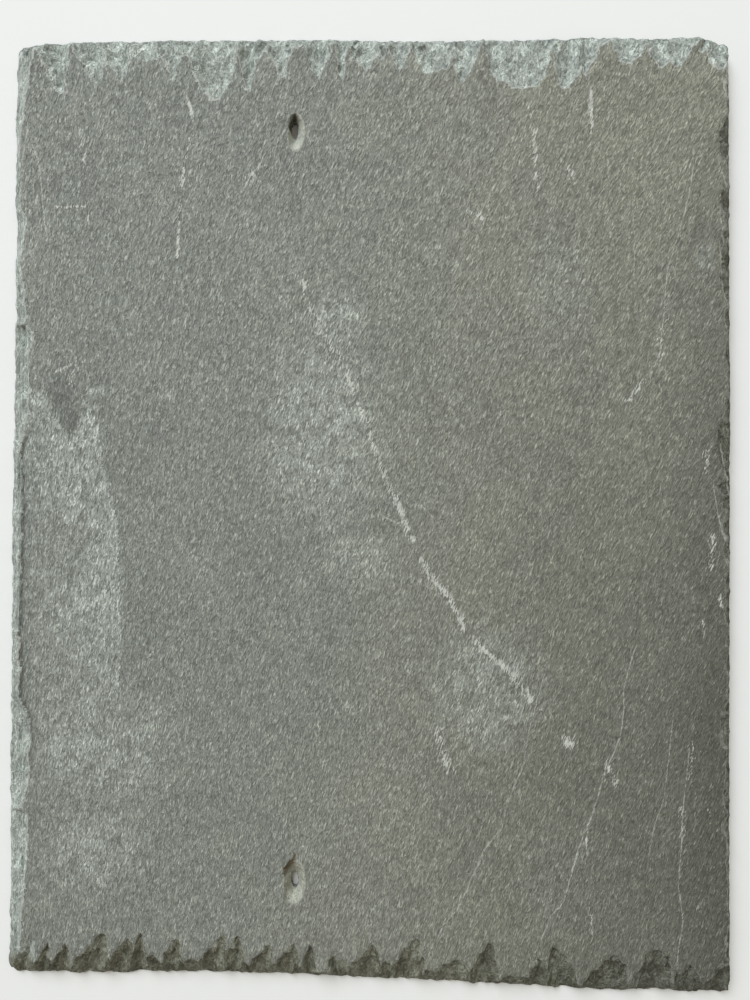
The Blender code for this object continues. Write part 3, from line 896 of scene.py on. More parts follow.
def stain_shade_and_crush_of(x, y):
    """Marks on the nail holes' walls: 1 where brown, at the upper left, a rust stain with painted shade of
    the wall turned from the light; -1 where freshly crushed, round the rest of the crater, pale powder with
    painted light where the wall faces the light.
    """
    stain_shade_and_crush = np.zeros(x.shape)
    for hole in HOLES:
        across = (x - hole["crater"][0]) / hole["crater_half"][0]
        along = (y - hole["crater"][1]) / hole["crater_half"][1]
        ratio = np.hypot(across, along)
        brown_and_shaded = smooth_step(0.8 * along - 0.6 * across, 0.5, 0.9)
        stain_shade_and_crush = stain_shade_and_crush + brown_and_shaded * smooth_step(ratio, *BROWN_FADE)
        stain_shade_and_crush = stain_shade_and_crush - (1 - brown_and_shaded) * smooth_step(ratio, *PALE_FADE)
    crack = smooth_step(np.abs(polyline_distance(x, y, CRACK)[0]), CRACK_WIDTH, CRACK_WIDTH / 3)
    return stain_shade_and_crush * (1 - crack) + crack


def patch_and_hollow_shade_of(x, y):
    """Strength of the darker patches of stone, and of the painted shade in the hollow beside the left strip.
    """
    patch_and_hollow_shade = HOLLOW_SHADE * hollow_depth(y, WIDTH / 2 + x) / HOLLOW_DEPTH
    for centre_x, centre_y, half_x, half_y, strength in DARK_PATCHES:
        ratio = np.hypot((x - centre_x) / half_x, (y - centre_y) / half_y)
        patch_and_hollow_shade = np.maximum(patch_and_hollow_shade, strength * smooth_step(ratio, *DARK_PATCH_FADE))
    return patch_and_hollow_shade


def slab_mesh():
    """The slab as one closed mesh at real size, with what its finish needs stored on its points."""
    upper, upper_faces = nominal_grid(FACE_CELLS, (in_dressed_band, where_it_bends, at_holes))
    lower, lower_faces = nominal_grid(BACK_CELLS, (in_back_band,))
    height, depth = upper_surface(upper)
    low = lower_surface(lower)
    upper_x, upper_y = real_plan(upper[:, 0], upper[:, 1])
    lower_x, lower_y = real_plan(lower[:, 0], lower[:, 1])
    upper_rim, upper_at = rim_order(upper)
    lower_rim, lower_at = rim_order(lower)
    rim_low = np.interp(upper_at, lower_at, low[lower_rim], period=RIM_END)
    rows = wall_rows(upper_x[upper_rim], upper_y[upper_rim], height[upper_rim], rim_low)
    parts = [np.stack([upper_x, upper_y, height], axis=1), np.stack([lower_x, lower_y, low], axis=1)]
    parts += [np.stack(row, axis=1) for row in rows]
    points = np.concatenate(parts)
    first_lower = len(upper)
    first_wall = first_lower + len(lower)
    faces = upper_faces + [[corner + first_lower for corner in face[::-1]] for face in lower_faces]
    count = len(upper_rim)
    loops = [upper_rim]
    loops += [np.arange(count) + first_wall + count * row for row in range(len(rows))]
    for above, below in zip(loops, loops[1:]):
        after_above, after_below = np.roll(above, -1), np.roll(below, -1)
        faces += np.stack([below, after_below, after_above, above], axis=1).tolist()
    faces += bridge(loops[-1], upper_at, lower_rim + first_lower, lower_at)
    mesh = bpy.data.meshes.new("slate_slab_fine")
    mesh.from_pydata((points * MM).tolist(), [], faces)
    mesh.update()
    walls = len(points) - first_wall
    store = {
        "depth": np.concatenate([depth, np.zeros(len(lower)), np.full(walls, WALL_DEPTH)]),
        "face": np.concatenate([np.ones(len(upper)), np.zeros(len(lower) + walls)]),
        "back": np.concatenate([np.zeros(len(upper)), np.ones(len(lower)), np.zeros(walls)]),
    }
    x, y = points[:, 0], points[:, 1]
    store["patch_and_hollow_shade"] = patch_and_hollow_shade_of(x, y) * store["face"]
    store["bloom"] = bloom_of(x, y) * store["face"] * np.clip(1 - store["patch_and_hollow_shade"], 0, 1)
    for kind, marks, layers in (("fleck", FLECKS, FLECK_LAYERS), ("hair", HAIRS, HAIR_LAYERS)):
        for number, (offset, strength) in enumerate(mark_fields(x, y, marks, layers)):
            store[f"{kind}_offset_{number}"] = offset
            store[f"{kind}_strength_{number}"] = strength * store["face"]
    offset = polyline_distance(x, y, LEDGES[-1])[0]
    store["leaf_offset"] = np.clip(offset, -MARK_FAR, MARK_FAR)
    store["leaf"] = leaf_of(x, y, offset) * store["face"]
    store["leaf_weight"] = smooth_step(x, *LEAF_CUT_ACROSS) * smooth_step(y, *LEAF_CUT_ALONG)
    store["stain_shade_and_crush"] = stain_shade_and_crush_of(x, y) * store["face"]
    for name, values in store.items():
        layer = mesh.attributes.new(name, "FLOAT", "POINT")
        layer.data.foreach_set("value", values.astype(np.float32))
    return mesh


# Nodes

class Nodes:
    """Builds a node tree out of short calls that each give back an output socket."""

    def __init__(self, tree):
        self.tree = tree

    def add(self, kind, inputs=(), output=0, **settings):
        """A new node with its settings and inputs, as one of its output sockets."""
        node = self.tree.nodes.new(kind)
        for name, value in settings.items():
            setattr(node, name, value)
        for name, value in dict(inputs).items():
            self.give(node.inputs[name], value)
        return node.outputs[output]

    def give(self, socket, value):
        """Links a socket's value, or sets it where it is a number, colour or vector."""
        if isinstance(value, bpy.types.NodeSocket):
            self.tree.links.new(value, socket)
        else:
            socket.default_value = value

    def math(self, operation, a, b=0.0, c=0.0, clamp=False):
        """One step of arithmetic."""
        kind = "ShaderNodeMath"
        return self.add(kind, {0: a, 1: b, 2: c}, operation=operation, use_clamp=clamp)

    def times(self, first, *others):
        """The product of its arguments, taken from the left."""
        for other in others:
            first = self.math("MULTIPLY", first, other)
        return first

    def plus(self, first, *others):
        """The sum of its arguments, taken from the left."""
        for other in others:
            first = self.math("ADD", first, other)
        return first

    def minus(self, a, b):
        """The first value less the second."""
        return self.math("SUBTRACT", a, b)

    def largest(self, first, *others):
        """The largest of its arguments."""
        for other in others:
            first = self.math("MAXIMUM", first, other)
        return first

    def crest(self, noise, sharpness):
        """1 where a noise crosses its middle, falling off to 0 on both sides."""
        away = self.math("ABSOLUTE", self.minus(noise, 0.5))
        return self.math("MULTIPLY_ADD", away, -sharpness, 1.0, clamp=True)

    def vector(self, operation, a, b=(0.0, 0.0, 0.0)):
        """One step of arithmetic on vectors."""
        return self.add("ShaderNodeVectorMath", {0: a, 1: b}, operation=operation)

    def scaled(self, vector, scale):
        """A vector or colour times a number."""
        product = self.vector("SCALE", vector)
        self.give(product.node.inputs["Scale"], scale)
        return product

    def between(self, value, low, high, to_low=0.0, to_high=1.0):
        """A value carried smoothly from one range to another, and held at its ends."""
        inputs = {"Value": value, "From Min": low, "From Max": high, "To Min": to_low, "To Max": to_high}
        return self.add("ShaderNodeMapRange", inputs, interpolation_type="SMOOTHSTEP")

    def noise(self, vector, scale, detail=2.0, roughness=0.5, distortion=0.0):
        """Noise from 0 to 1 over a place."""
        inputs = {"Vector": vector, "Scale": scale, "Detail": detail, "Roughness": roughness}
        return self.add("ShaderNodeTexNoise", {**inputs, "Distortion": distortion})

    def mix(self, share, a, b):
        """Two colours mixed by a share."""
        return self.add("ShaderNodeMix", {0: share, 6: a, 7: b}, 2, data_type="RGBA", clamp_factor=True)

    def blend(self, share, a, b):
        """Two numbers mixed by a share."""
        return self.add("ShaderNodeMix", {0: share, 2: a, 3: b}, data_type="FLOAT")

    def attribute(self, name):
        """A value stored on the mesh's points."""
        return self.add("ShaderNodeAttribute", attribute_name=name, output="Fac")


def relief_tree():
    """Riven relief on the face and the underside, and broken relief on the scars, in metres."""
    tree = bpy.data.node_groups.new("Riven relief", "GeometryNodeTree")
    tree.is_modifier = True
    sockets = tree.interface
    sockets.new_socket("Geometry", in_out="INPUT", socket_type="NodeSocketGeometry")
    for name, value in (
        ("Riven depth", 0.0002),
        ("Scar depth", 0.0002),
        ("Back depth", 0.0003),
        ("Grain lean", 0.4),
        ("Grain length", 0.007),
        ("Grain width", 0.0028),
        ("Scar grain", 0.0022),
    ):
        socket = sockets.new_socket(name, in_out="INPUT", socket_type="NodeSocketFloat")
        socket.default_value = value
    socket = sockets.new_socket("Seed", in_out="INPUT", socket_type="NodeSocketInt")
    socket.default_value = SEED
    sockets.new_socket("Material", in_out="INPUT", socket_type="NodeSocketMaterial")
    sockets.new_socket("Geometry", in_out="OUTPUT", socket_type="NodeSocketGeometry")
    build = Nodes(tree)
    group = tree.nodes.new("NodeGroupInput")
    given = group.outputs
    place = build.add("GeometryNodeInputPosition")
    x, y, _ = build.add("ShaderNodeSeparateXYZ", {0: place}).node.outputs
    across = build.minus(x, build.times(y, given["Grain lean"]))
    across = build.math("DIVIDE", across, given["Grain width"])
    along = build.math("DIVIDE", y, given["Grain length"])
    seed = build.times(given["Seed"], SEED_STEP)
    leaning = build.add("ShaderNodeCombineXYZ", {0: across, 1: along, 2: seed})
    riven = build.noise(leaning, 1.0, 3.0, 0.55)
    broken = build.noise(build.scaled(place, build.math("DIVIDE", 1.0, given["Scar grain"])), 1.0, 3.0, 0.6)
    depth = build.add("GeometryNodeInputNamedAttribute", {"Name": "depth"}, data_type="FLOAT")
    on_face = build.add("GeometryNodeInputNamedAttribute", {"Name": "face"}, data_type="FLOAT")
    on_back = build.add("GeometryNodeInputNamedAttribute", {"Name": "back"}, data_type="FLOAT")
    scar_share = build.times(build.between(depth, 0.02, 0.3), on_face)
    face_share = build.minus(on_face, scar_share)
    face_drop = build.times(riven, given["Riven depth"], face_share)
    scar_rise = build.times(build.minus(broken, 0.5), given["Scar depth"], scar_share)
    back_rise = build.times(riven, given["Back depth"], on_back)
    total = build.minus(build.plus(scar_rise, back_rise), face_drop)
    offset = build.add("ShaderNodeCombineXYZ", {2: total})
    moved = build.add("GeometryNodeSetPosition", {"Geometry": given["Geometry"], "Offset": offset})
    realised = build.add("GeometryNodeRealizeInstances", {"Geometry": moved})
    finished = build.add("GeometryNodeSetMaterial", {"Geometry": realised, "Material": given["Material"]})
    output = tree.nodes.new("NodeGroupOutput")
    tree.links.new(finished, output.inputs["Geometry"])
    return tree


def opaque(colour):
    """A colour with full opacity, as a colour socket takes it."""
    return tuple(colour) + (1.0,)


def stone_fields(build, settings):
    """The places, in millimetres, and the noises that the stone's colour, marks and relief share."""
    place = build.scaled(build.add("ShaderNodeTexCoord", output="Object"), 1 / MM)
    x, y, z = build.add("ShaderNodeSeparateXYZ", {0: place}).node.outputs
    lean = build.math("MULTIPLY_ADD", x, GRAIN_LEAN_TURN, GRAIN_LEAN)
    across = build.math("DIVIDE", build.minus(x, build.times(y, lean)), settings.streak_width)
    along = build.math("DIVIDE", y, settings.streak_length)
    grain_place = build.add("ShaderNodeCombineXYZ", {0: across, 1: along, 2: z})
    stroke_place = build.vector("MULTIPLY", grain_place, STROKE_STRETCH)
    grit_place = build.vector("MULTIPLY", place, GRIT_STRETCH)
    curl = build.noise(grain_place, 1.0, 2.0, 0.6, 1.0)
    return SimpleNamespace(
        place=place,
        x=x,
        y=y,
        z=z,
        curl=curl,
        ridge=build.crest(curl, 9.0),
        fine=build.noise(grain_place, 2.4, 2.0, 0.6, 0.5),
        stroke=build.noise(stroke_place, 1.0, 1.0, 0.5, 0.9),
        blotch=build.noise(place, 0.2, 3.0, 0.6),
        cloud=build.noise(place, 0.04, 3.0, 0.6),
        chip=build.noise(place, 1.3, 3.0, 0.7, 0.5),
        grit=build.noise(grit_place, 1.6, 2.0, 0.65, 1.4),
        depth=build.attribute("depth"),
        stain_shade_and_crush=build.attribute("stain_shade_and_crush"),
    )


def bloom_share(build, stone):
    """How much pale bloom shows: the left-hand leaf's edge cuts it off sharply."""
    wander = build.between(stone.fine, 0.2, 0.8, -0.6, 0.6)
    inside = build.between(build.plus(build.attribute("leaf_offset"), wander), -0.2, 0.2)
    outside = build.times(build.minus(1.0, inside), build.attribute("leaf_weight"))
    leaf = build.times(build.attribute("leaf"), inside)
    bloom = build.times(build.attribute("bloom"), build.minus(1.0, outside))
    mottle = build.plus(build.times(stone.curl, 0.6), build.times(stone.blotch, 1.1))
    return build.times(build.largest(bloom, leaf), build.between(mottle, 0.6, 1.1, 0.25, 1.0))


def face_colour(build, stone, bloom, settings):
    """Colour of the face: cool at the left, olive and darker to the lower right, the darkening partly its
    own tone and partly painted shade; with painted highlights on the grain.
    """
    warm = build.plus(build.between(stone.x, *WARM_ACROSS), build.between(stone.y, *WARM_ALONG, 0.0, 0.25))
    drift = build.times(build.minus(stone.cloud, 0.5), 0.9)
    warm = build.math("ADD", warm, drift, clamp=True)
    body = build.mix(warm, opaque(settings.cool_colour), opaque(settings.warm_colour))
    body = build.mix(build.times(bloom, 0.85), body, opaque(settings.bloom_colour))
    # Painted shade: darker to the lower right, where the light falls off, and along the right rim, which
    # turns from the light; partly the stone's own darker tone
    shade = build.times(build.between(stone.x, *SHADE_ACROSS), build.between(stone.y, *SHADE_ALONG))
    rim_shade = build.times(build.between(stone.x, *RIM_ACROSS), build.between(stone.y, *RIM_ALONG))
    shade = build.plus(build.times(shade, SHADE), build.times(rim_shade, RIM_SHADE))
    # Painted highlights over the grain's own tone: a glint on the strokes and bright crests on the ridges,
    # where the riven grain catches the light
    glint = build.times(build.between(stone.stroke, 0.5, 0.72), build.between(bloom, 0.0, 0.8, 0.85, 1.2))
    ridge_highlight = build.times(stone.ridge, build.between(bloom, 0.0, 0.8, 0.3, 0.6))
    tone = build.times(
        build.minus(1.0, shade),
        build.between(stone.cloud, 0.25, 0.75, 0.94, 1.06),
        build.between(stone.blotch, 0.25, 0.75, 0.94, 1.06),
        build.between(stone.fine, 0.3, 0.7, 0.68, 1.2),
        build.plus(glint, 0.88),
        build.between(stone.curl, 0.25, 0.75, 0.86, 1.14),
        build.plus(ridge_highlight, 0.9),
    )
    return build.scaled(body, tone)


def leaning_place(build, stone, across, lean, along):
    """A place squeezed across and along, and leaning, for a noise that runs in from the edge."""
    shifted = build.math("MULTIPLY_ADD", stone.y, lean, build.times(stone.x, across))
    return build.add("ShaderNodeCombineXYZ", {0: shifted, 1: build.times(stone.y, along)})


def broken_layers(build, stone):
    """The split layers of the broken stone, and the hackles that run over them in from the edge."""
    squeezed = {0: build.times(stone.x, 0.8), 1: build.times(stone.y, 0.34), 2: build.times(stone.z, 1.3)}
    lamina = build.noise(build.add("ShaderNodeCombineXYZ", squeezed), 1.0, 2.5, 0.55, 1.3)
    sliver = build.noise(leaning_place(build, stone, 1.9, 0.12, 0.14), 1.0, 3.0, 0.7, 0.6)
    lamina = build.blend(build.between(stone.x, *SLIVERS_ACROSS), lamina, sliver)
    rib = build.crest(build.noise(leaning_place(build, stone, 0.34, -0.1, 0.17), 1.0, 4.0, 0.62, 1.2), 16.0)
    ring = build.math("SINE", build.math("MULTIPLY_ADD", lamina, 9.0, build.times(stone.depth, 6.5)))
    ring = build.math("MULTIPLY_ADD", build.math("ABSOLUTE", ring), -2.6, 1.0, clamp=True)
    hackle = build.largest(build.times(build.crest(lamina, 16.0), 0.45), rib, build.times(ring, 0.85))
    return lamina, hackle


def olive_share(build, stone):
    """How olive the broken stone is: at the bottom and right, and at the left only at its lower end. The
    darker olive is partly a weathered tone and partly painted shade of the scars that face away from the
    light.
    """
    right = build.times(build.between(stone.x, *OLIVE_ACROSS), build.between(stone.y, *UNDER_CORNER))
    low = build.times(build.between(stone.y, *OLIVE_ALONG), build.between(stone.x, *PAST_STRIP))
    low = build.largest(low, build.between(stone.y, *STRIP_END))
    return build.math("ADD", low, right, clamp=True)


def broken_colour(build, stone, lamina, hackle, olive, settings):
    """Colour of the broken stone of the scars and walls, with painted shade towards the right and a painted
    sheen on the olive scars.
    """
    # Painted shade on the broken stone towards the right, where the scars face away from the light
    scar_shade = build.times(build.between(stone.x, *SCAR_SHADE_ACROSS), build.between(stone.y, *UNDER_CORNER))
    flaked = build.between(build.plus(stone.chip, lamina), 0.7, 1.3, 0.72, 1.16)
    tone = build.times(
        build.plus(flaked, build.times(hackle, 0.8)),
        build.between(stone.grit, 0.34, 0.66, 0.84, 1.16),
        build.between(stone.fine, 0.3, 0.7, 0.88, 1.12),
        build.between(stone.blotch, 0.35, 0.65, 0.86, 1.16),
        build.math("MULTIPLY_ADD", scar_shade, -0.38, 1.0),
    )
    tone = build.math("POWER", tone, build.math("MULTIPLY_ADD", olive, 0.15, 1.3))
    # The olive colour is darker than the broken one: partly weathered stone, partly painted shade
    colour = build.mix(olive, opaque(settings.broken_colour), opaque(settings.olive_colour))
    # Painted sheen: pale highlights on the hackles of the olive scars, in the bloom colour
    painted_sheen = build.times(hackle, olive, build.between(stone.blotch, 0.42, 0.56, 0.08, 0.45))
    return build.mix(painted_sheen, build.scaled(colour, tone), opaque(settings.bloom_colour))


def lip_highlight(build, stone, olive):
    """Painted highlight on the thin lips where a scar meets the face, strongest at the top and left, where
    the scars' cliffs face the light.
    """
    return build.times(
        build.between(stone.depth, 0.04, 0.16),
        build.between(stone.depth, 0.75, 0.35),
        build.between(olive, 0.0, 1.0, 0.85, 0.3),
        build.between(stone.chip, 0.3, 0.5),
    )


def fleck_share(build, stone, bloom, scar):
    """White flecks, gathered in swarms round each vein and thinner on the blooms."""
    gather = build.between(stone.blotch, 0.3, 0.65, 0.6, 1.15)
    stray = build.times(build.minus(stone.blotch, 0.5), 2.4)
    swarms = []
    for number in range(FLECK_LAYERS):
        offset = build.plus(build.attribute(f"fleck_offset_{number}"), stray)
        spread = build.math("EXPONENT", build.times(offset, offset, -1.0))
        swarms.append(build.times(spread, build.attribute(f"fleck_strength_{number}"), gather))
    veins = build.largest(*swarms)
    density = build.largest(veins, build.math("MULTIPLY_ADD", bloom, 0.45, 0.08))
    fleck_grain = build.plus(build.times(stone.stroke, 0.7), build.times(stone.curl, 0.3))
    threshold = build.math("MULTIPLY_ADD", density, -0.24, 0.66)
    fleck = build.math("MULTIPLY", build.minus(fleck_grain, threshold), 20.0, clamp=True)
    opacity = build.times(build.between(veins, 0.0, 0.5, 0.35, 0.95), build.minus(1.0, scar))
    return build.times(fleck, opacity)


def hair_share(build, stone):
    """Hair-thin pale lines, that wander and fade with the grain."""
    wander = build.times(build.minus(stone.curl, 0.5), 3.0)
    hairs = []
    for number in range(HAIR_LAYERS):
        offset = build.math("ABSOLUTE", build.plus(build.attribute(f"hair_offset_{number}"), wander))
        strength = build.attribute(f"hair_strength_{number}")
        hairs.append(build.times(build.between(offset, 1.5, 0.4), strength))
    return build.times(build.largest(*hairs), build.between(stone.fine, 0.38, 0.62, 0.2, 0.85))


def with_hole_walls(build, stone, colour, settings):
    """Adds the crushed stone with painted light and the brown stain with painted shade on the walls of the
    nail holes.
    """
    powder = build.between(build.plus(stone.grit, stone.chip), 0.75, 1.2, 0.35, 1.0)
    crushed_and_lit = build.times(build.between(stone.stain_shade_and_crush, 0.1, -0.5), powder)
    colour = build.mix(crushed_and_lit, colour, opaque(settings.crushed_and_lit_colour))
    brown_and_shaded = build.times(build.between(stone.stain_shade_and_crush, 0.0, 0.9), build.between(stone.chip, 0.25, 0.5, 0.5, 1.0))
    return build.mix(brown_and_shaded, colour, opaque(settings.stain_and_shade_colour))


def fine_relief(build, stone, lamina, hackle, scar, settings):
    """Relief too fine for the mesh: the grain on the face, split layers and chips on the scars."""
    grain = build.plus(
        build.times(stone.curl, 0.8),
        build.times(stone.fine, 0.7),
        build.times(stone.ridge, 0.25),
        build.times(stone.stroke, 0.3),
    )
    broken = build.plus(build.times(stone.chip, 0.5), build.times(lamina, 2.0), build.times(hackle, 0.5))
    crumbled = build.math("MULTIPLY_ADD", build.math("ABSOLUTE", stone.stain_shade_and_crush), -0.75, 1.0)
    height = build.blend(scar, grain, build.times(broken, crumbled))
    return build.add("ShaderNodeBump", {"Strength": 1.0, "Distance": settings.fine_relief, "Height": height})


def slate_material(settings):
    """Riven slate: curled grain, cool to olive body, pale blooms, white flecks and hairs, broken edges."""
    material = bpy.data.materials.new("riven slate")
    material.use_nodes = True
    shader = material.node_tree.nodes["Principled BSDF"]
    build = Nodes(material.node_tree)
    stone = stone_fields(build, settings)
    bloom = bloom_share(build, stone)
    scar = build.between(stone.depth, 0.08, 0.28)
    lamina, hackle = broken_layers(build, stone)
    olive = olive_share(build, stone)
    white = opaque(settings.mark_colour)
    colour = face_colour(build, stone, bloom, settings)
    colour = build.mix(scar, colour, broken_colour(build, stone, lamina, hackle, olive, settings))
    # Darker patches, and painted shade in the hollow beside the left strip
    colour = build.scaled(colour, build.math("MULTIPLY_ADD", build.attribute("patch_and_hollow_shade"), -PATCH_AND_SHADE_DARKENING, 1.0))
    # Painted highlight on the scars' lips, in the marks' white
    colour = build.mix(lip_highlight(build, stone, olive), colour, white)
    colour = build.mix(fleck_share(build, stone, bloom, scar), colour, white)
    colour = build.mix(hair_share(build, stone), colour, white)
    colour = with_hole_walls(build, stone, colour, settings)
    build.give(shader.inputs["Normal"], fine_relief(build, stone, lamina, hackle, scar, settings))
    build.give(shader.inputs["Base Color"], colour)
    build.give(shader.inputs["Roughness"], build.between(stone.curl, 0.3, 0.7, 0.75, 0.6))
    shader.inputs["IOR"].default_value = 1.5
    shader.inputs["Specular IOR Level"].default_value = 0.3
    return material


def floor_material(settings):
    """Plain pale paper."""
    material = bpy.data.materials.new("pale floor")
    material.use_nodes = True
    shader = material.node_tree.nodes["Principled BSDF"]
    build = Nodes(material.node_tree)
    place = build.add("ShaderNodeTexCoord", output="Object")
    paper = build.noise(place, 9.0, 2.0, 0.5)
    scar_shade = opaque(value * 0.985 for value in settings.floor_colour)
    colour = build.mix(paper, scar_shade, opaque(settings.floor_colour))
    build.give(shader.inputs["Base Color"], colour)
    shader.inputs["Roughness"].default_value = 0.9
    shader.inputs["Specular IOR Level"].default_value = 0.1
    return material


# Settings

class SlateSettings(bpy.types.PropertyGroup):
    """Sizes and colours of the slate"""

    riven_depth: FloatProperty(
        name="Riven depth", description="Depth of the leaning ripples on the face",
        default=0.00022, unit="LENGTH")
    scar_depth: FloatProperty(
        name="Scar roughness", description="Height of the broken relief on the flake scars",
        default=0.00035, unit="LENGTH")
    back_depth: FloatProperty(
        name="Back relief", description="Depth of the ripples on the underside",
        default=0.0003, unit="LENGTH")
    grain_length: FloatProperty(
        name="Grain length", description="Length of one ripple of the face",
        default=0.007, unit="LENGTH")
    grain_width: FloatProperty(
        name="Grain width", description="Width of one ripple of the face",
        default=0.0028, unit="LENGTH")
    streak_length: FloatProperty(
        name="Streak length", description="Length of one curl of the grain, in millimetres",
        default=2.7)
    streak_width: FloatProperty(
        name="Streak width", description="Width of one curl of the grain, in millimetres",
        default=0.95)
    fine_relief: FloatProperty(
        name="Fine relief", description="Height of the relief too fine for the mesh",
        default=0.00042, unit="LENGTH")
    cool_colour: FloatVectorProperty(
        name="Cool slate", description="Body colour towards the left",
        default=(0.248, 0.265, 0.244), subtype="COLOR")
    warm_colour: FloatVectorProperty(
        name="Olive slate", description="Body colour towards the right",
        default=(0.255, 0.26, 0.217), subtype="COLOR")
    # Also the colour of the painted sheen on the olive scars
    bloom_colour: FloatVectorProperty(
        name="Bloom", description="Colour of the pale blooms",
        default=(0.375, 0.408, 0.378), subtype="COLOR")
    broken_colour: FloatVectorProperty(
        name="Broken slate", description="Colour of the scars at the top and left",
        default=(0.315, 0.348, 0.322), subtype="COLOR")
    # Darker than the broken slate: partly a weathered tone, partly painted shade of the scars that face away
    # from the light
    olive_colour: FloatVectorProperty(
        name="Olive scars", description="Colour of the scars at the bottom and right",
        default=(0.128, 0.127, 0.092), subtype="COLOR")
    # The crushed stone with painted light, and the brown stain with painted shade, on the walls of the nail
    # holes
    crushed_and_lit_colour: FloatVectorProperty(
        name="Crushed slate", description="Colour of the crushed walls of the nail holes",
        default=(0.5, 0.51, 0.44), subtype="COLOR")
    stain_and_shade_colour: FloatVectorProperty(
        name="Stain", description="Colour of the stain in the nail holes",
        default=(0.13, 0.1, 0.06), subtype="COLOR")
    # Also the colour of the painted highlight on the scars' lips
    mark_colour: FloatVectorProperty(
        name="Marks", description="Colour of the white mineral flecks",
        default=(0.62, 0.64, 0.59), subtype="COLOR")
    seed: IntProperty(name="Seed", description="Changes the grain", default=SEED, min=0)


class StageSettings(bpy.types.PropertyGroup):
    """The floor, the light and the camera that the slate is seen by"""

    floor_colour: FloatVectorProperty(
        name="Floor", description="Colour of the floor",
        default=(0.885, 0.89, 0.885), subtype="COLOR")
    floor_size: FloatProperty(name="Floor size", description="Side of the floor", default=3.0, unit="LENGTH")
    camera_height: FloatProperty(
        name="Camera height", description="Height of the camera over the floor",
        default=0.2409, unit="LENGTH")
    camera_x: FloatProperty(
        name="Camera across", description="Place of the camera across the slate",
        default=0.00255, unit="LENGTH")
    camera_y: FloatProperty(
        name="Camera along", description="Place of the camera along the slate",
        default=0.00467, unit="LENGTH")
    lens: FloatProperty(name="Lens", description="Focal length in millimetres", default=27.04)
    key_power: FloatProperty(name="Window light", description="Power of the low window light", default=182.0)
    key_colour: FloatVectorProperty(
        name="Window colour", description="Colour of the window light",
        default=(0.888, 0.943, 1.0), subtype="COLOR")
    ambient: FloatProperty(name="Ambient", description="Brightness of the room around", default=0.4)
    ambient_colour: FloatVectorProperty(
        name="Room colour", description="Colour of the room around",
        default=(1.0, 0.935, 0.79), subtype="COLOR")


# Operators

class SLATE_OT_slab(bpy.types.Operator):
    """Builds the dressed slate in place of its plain solid"""

    bl_idname = "slate.slab"
    bl_label = "Dressed slate"

    def execute(self, context):
        settings = context.scene.slate_settings
        material = slate_material(settings)
        rough = bpy.data.objects.new("slate_slab_rough", slab_mesh())
        context.scene.collection.objects.link(rough)
        relief = rough.modifiers.new("Riven relief", "NODES")
        relief.node_group = relief_tree()
        values = {
            "Riven depth": settings.riven_depth,
            "Scar depth": settings.scar_depth,
            "Back depth": settings.back_depth,
            "Grain lean": GRAIN_LEAN,
            "Grain length": settings.grain_length,
            "Grain width": settings.grain_width,
            "Seed": settings.seed,
            "Material": material,
        }
        for item in relief.node_group.interface.items_tree:
            if item.in_out == "INPUT" and item.name in values:
                relief[item.identifier] = values[item.name]
        cutters = [neck_cutter(hole) for hole in HOLES]
        for cutter in cutters:
            cut = rough.modifiers.new("Nail hole", "BOOLEAN")
            cut.operation = "DIFFERENCE"
            cut.object = cutter
        slab = plain_piece(rough, "dressed_slate")
        for cutter in cutters:
            bpy.data.objects.remove(cutter, do_unlink=True)
        settle_in_box(slab.data)
        slab.data.shade_smooth()
        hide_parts("slate_slab")
        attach(slab, "root")
        return {"FINISHED"}


def neck_cutter(hole):
    """A closed cutter for the slot that a nail punched right through."""
    angles = np.linspace(0, 2 * math.pi, NECK_SIDES, endpoint=False)
    reach = 1 + NECK_RAGGED * smooth_noise(angles * 2, angles * 0 + hole["neck"][1], 1.0, SEED + 90)
    mesh = bmesh.new()
    rings = []
    for height in (-1.0, THICKNESS + 1.0):
        ring = []
        for angle, share in zip(angles, reach):
            x = hole["neck"][0] + hole["neck_half"][0] * math.cos(angle) * share
            y = hole["neck"][1] + hole["neck_half"][1] * math.sin(angle) * share
            ring.append(mesh.verts.new((x * MM, y * MM, height * MM)))
        rings.append(ring)
    mesh.faces.new(rings[0][::-1])
    mesh.faces.new(rings[-1])
    for lower, upper in zip(rings, rings[1:]):
        for side in range(NECK_SIDES):
            after = (side + 1) % NECK_SIDES
            mesh.faces.new((lower[side], lower[after], upper[after], upper[side]))
    data = bpy.data.meshes.new("nail_hole_cutter")
    mesh.to_mesh(data)
    mesh.free()
    cutter = bpy.data.objects.new("nail_hole_cutter", data)
    bpy.context.scene.collection.objects.link(cutter)
    cutter.hide_render = True
    cutter.display_type = "WIRE"
    return cutter


def plain_piece(rough, name):
    """A plain mesh object from an object's evaluated modifiers, in place of it."""
    graph = bpy.context.evaluated_depsgraph_get()
    mesh = bpy.data.meshes.new_from_object(rough.evaluated_get(graph))
    mesh.name = name
    bpy.data.objects.remove(rough, do_unlink=True)
    piece = bpy.data.objects.new(name, mesh)
    bpy.context.scene.collection.objects.link(piece)
    return piece


def settle_in_box(mesh):
    """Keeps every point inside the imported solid's box."""
    points = np.empty(len(mesh.vertices) * 3, np.float32)
    mesh.vertices.foreach_get("co", points)
    points = points.reshape(-1, 3)
    points = np.clip(points, np.array(CAD_LOW, np.float32), np.array(CAD_HIGH, np.float32))
    mesh.vertices.foreach_set("co", points.ravel())
    mesh.update()


class SLATE_OT_stage(bpy.types.Operator):
    """Builds the pale floor, the lights and the camera"""

    bl_idname = "slate.stage"
    bl_label = "Stage"

    def execute(self, context):
        settings = context.scene.slate_stage
        build_floor(settings)
        build_lights(settings)
        build_camera(settings)
        return {"FINISHED"}


